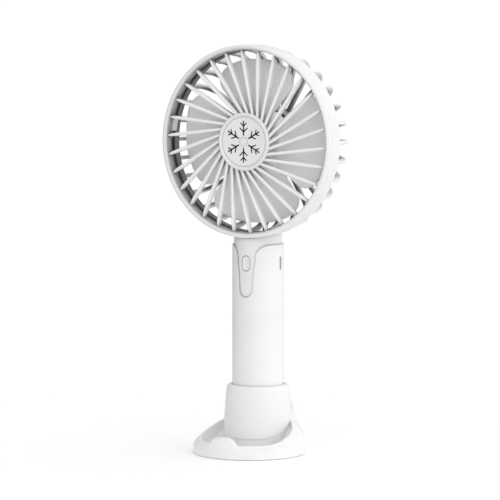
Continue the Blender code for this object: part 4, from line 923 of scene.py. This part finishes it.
def cup_outside(name, grow, drop):
    side = [(radius + grow, height) for radius, height in CUP_SIDE]
    top = side[0][0]
    body = lathe(name, soften([
        (0.0, CUP_TOP), (top - 1.6, CUP_TOP), (top - 0.3, CUP_TOP - 1.2), *side,
        (side[-1][0], 2.0), (0.0, 2.0),
    ], 1.0, closed=False), MEDIUM, closed=False)
    front = CUP_EDGE_FRONT - drop
    smooth = CUP_EDGE_SMOOTH
    below = [(-FAR_OUT, front)]
    for step in range(13):
        y = CUP_EDGE_Y - smooth + 2 * smooth * step / 12
        below.append((y, front + CUP_EDGE_SLOPE * (y - CUP_EDGE_Y + smooth) ** 2 / (4 * smooth)))
    below += [(FAR_OUT, front + CUP_EDGE_SLOPE * (FAR_OUT - CUP_EDGE_Y)), (FAR_OUT, 0.0), (-FAR_OUT, 0.0)]
    return cut(body, plate(name + "_below", below, -FAR_OUT, FAR_OUT, SIDEWAYS))


def screw_places():
    turns = [math.radians(angle) for angle in SCREW_ANGLES]
    return [Matrix.Translation((SCREW_CIRCLE * math.sin(turn) * MM, SCREW_CIRCLE * math.cos(turn) * MM, 0.0))
            for turn in turns]


def cup():
    low = TROUGH_FLOOR + GAP
    radius, top = CUP_BASE
    base = lathe("cup_base", [(0.0, top), (radius, top), (radius, low), (0.0, low)], MEDIUM, closed=False)
    shell = cut(base, cup_outside("cup_taper", 0.0, 0.0), "UNION")
    shell.name = "cup_shell"
    bore = lathe("cup_bore", [(0.0, FAR_UP), (CUP_BORE, FAR_UP), (CUP_BORE, CUP_FLOOR), (0.0, CUP_FLOOR)],
                 MEDIUM, closed=False)
    cut(shell, bore)
    thread = [(0.0, SCREW_TIP), (SCREW_THREAD, SCREW_TIP), (SCREW_THREAD, 0.0), (0.0, 0.0)]
    for place in screw_places():
        cut(shell, lathe("screw_thread", thread, SMALL, place, closed=False))
    ease(shell, 0.45)
    dress(shell, WHITE, "dock", "white_plastic", "dock_cup")


def foot():
    shell = foot_body()
    cut(shell, trough())
    cut(shell, hill(), "UNION")
    radius, top = CUP_BASE
    cut(shell, lathe("cup_base_space", [
        (0.0, FAR_UP), (CUP_CORE_RADIUS, FAR_UP), (CUP_CORE_RADIUS, top - 1.0), (radius - GAP, top - 1.0),
        (radius - GAP, TROUGH_FLOOR), (0.0, TROUGH_FLOOR),
    ], MEDIUM, closed=False))
    cut(shell, cup_outside("cup_space", -0.4, -0.4))
    centre = Matrix.Translation((0.0, FOOT_CENTRE_Y * MM, 0.0))
    cut(shell, lathe("cover_recess", [
        (0.0, COVER_TOP), (COVER_RADIUS + GAP, COVER_TOP), (COVER_RADIUS + GAP, FAR_DOWN), (0.0, FAR_DOWN),
    ], FINE, centre, closed=False))
    shank, head = SCREW_HOLE
    hole = [(0.0, 9.0), (shank, 9.0), (shank, SCREW_SEAT), (head, SCREW_SEAT), (head, FAR_DOWN),
            (0.0, FAR_DOWN)]
    for place in screw_places():
        cut(shell, lathe("screw_hole", hole, SMALL, place, closed=False))
    ease(shell, 0.3)
    dress(shell, DOCK, "dock", "white_plastic", "dock_foot")


# ---------------------------------------------------------------- stage, light and camera

def floor():
    """A pale disc whose edge fades out into the backdrop."""
    bm = bmesh.new()
    bmesh.ops.create_circle(bm, cap_ends=True, radius=FLOOR_RADIUS, segments=96)
    ground = finished("floor", bm)
    pale = moulded("pale_floor", (0.95, 0.95, 0.95), 0.8, grain=2.0, relief=0.01, mottle=0.004)
    tree = pale.node_tree
    place = tree.nodes.new("ShaderNodeTexCoord").outputs["Object"]
    length = tree.nodes.new("ShaderNodeVectorMath")
    length.operation = "LENGTH"
    tree.links.new(place, length.inputs[0])
    fade = tree.nodes.new("ShaderNodeMapRange")
    fade.interpolation_type = "SMOOTHSTEP"
    fade.inputs["From Min"].default_value = FLOOR_RADIUS * FLOOR_FADE[0]
    fade.inputs["From Max"].default_value = FLOOR_RADIUS * FLOOR_FADE[1]
    fade.inputs["To Min"].default_value = 1.0
    fade.inputs["To Max"].default_value = 0.0
    tree.links.new(length.outputs["Value"], fade.inputs["Value"])
    shader = tree.nodes["Principled BSDF"]
    tree.links.new(fade.outputs["Result"], shader.inputs["Alpha"])
    shader.inputs["Emission Color"].default_value = (1.0, 1.0, 1.0, 1.0)
    shader.inputs["Emission Strength"].default_value = FLOOR_GLOW
    ground.data.materials.append(pale)


def studio():
    """A soft surround, dimmer on the camera's left and below, in front of a plain white backdrop."""
    azimuth = math.radians(CAMERA_AZIMUTH)
    right = Vector((math.cos(azimuth), math.sin(azimuth), 0.0))
    behind = Vector((math.sin(azimuth), -math.cos(azimuth), 0.0))
    up = Vector((0.0, 0.0, 1.0))
    world = bpy.data.worlds.new("studio")
    bpy.context.scene.world = world
    world.use_nodes = True
    tree = world.node_tree
    direction = tree.nodes.new("ShaderNodeTexCoord").outputs["Generated"]
    slope = tree.nodes.new("ShaderNodeVectorMath")
    slope.operation = "DOT_PRODUCT"
    slope.inputs[1].default_value = (right * SURROUND_RISE[0] + behind * SURROUND_RISE[1]
                                     + up * SURROUND_RISE[2])
    tree.links.new(direction, slope.inputs[0])
    level = tree.nodes.new("ShaderNodeMath")
    level.operation = "ADD"
    level.inputs[1].default_value = SURROUND_LEVEL
    tree.links.new(slope.outputs["Value"], level.inputs[0])
    seen = tree.nodes.new("ShaderNodeLightPath").outputs["Is Camera Ray"]
    strength = tree.nodes.new("ShaderNodeMix")
    tree.links.new(seen, strength.inputs["Factor"])
    tree.links.new(level.outputs["Value"], strength.inputs["A"])
    strength.inputs["B"].default_value = BACKDROP
    background = tree.nodes["Background"]
    background.inputs["Color"].default_value = (1.0, 1.0, 1.0, 1.0)
    tree.links.new(strength.outputs["Result"], background.inputs["Strength"])


def camera():
    azimuth = math.radians(CAMERA_AZIMUTH)
    target = Vector(CAMERA_TARGET) * MM
    rise = math.asin((CAMERA_HEIGHT - CAMERA_TARGET[2]) / CAMERA_DISTANCE)
    away = Vector((math.sin(azimuth) * math.cos(rise), -math.cos(azimuth) * math.cos(rise), math.sin(rise)))
    data = bpy.data.cameras.new("camera")
    data.sensor_width = CAMERA_SENSOR
    data.lens = CAMERA_LENS
    data.clip_start = 0.05
    data.clip_end = 200.0
    obj = bpy.data.objects.new("camera", data)
    bpy.context.scene.collection.objects.link(obj)
    obj.location = target + away * CAMERA_DISTANCE * MM
    obj.rotation_mode = "QUATERNION"
    obj.rotation_quaternion = (-away).to_track_quat("-Z", "Y")
    bpy.context.scene.camera = obj


camera()
floor()
studio()
front_ring()
front_spokes()
front_hub()
badge()
impeller()
rear_grille()
housing()
sleeve()
button()
cup()
foot()
bpy.context.scene.view_settings.view_transform = "Standard"
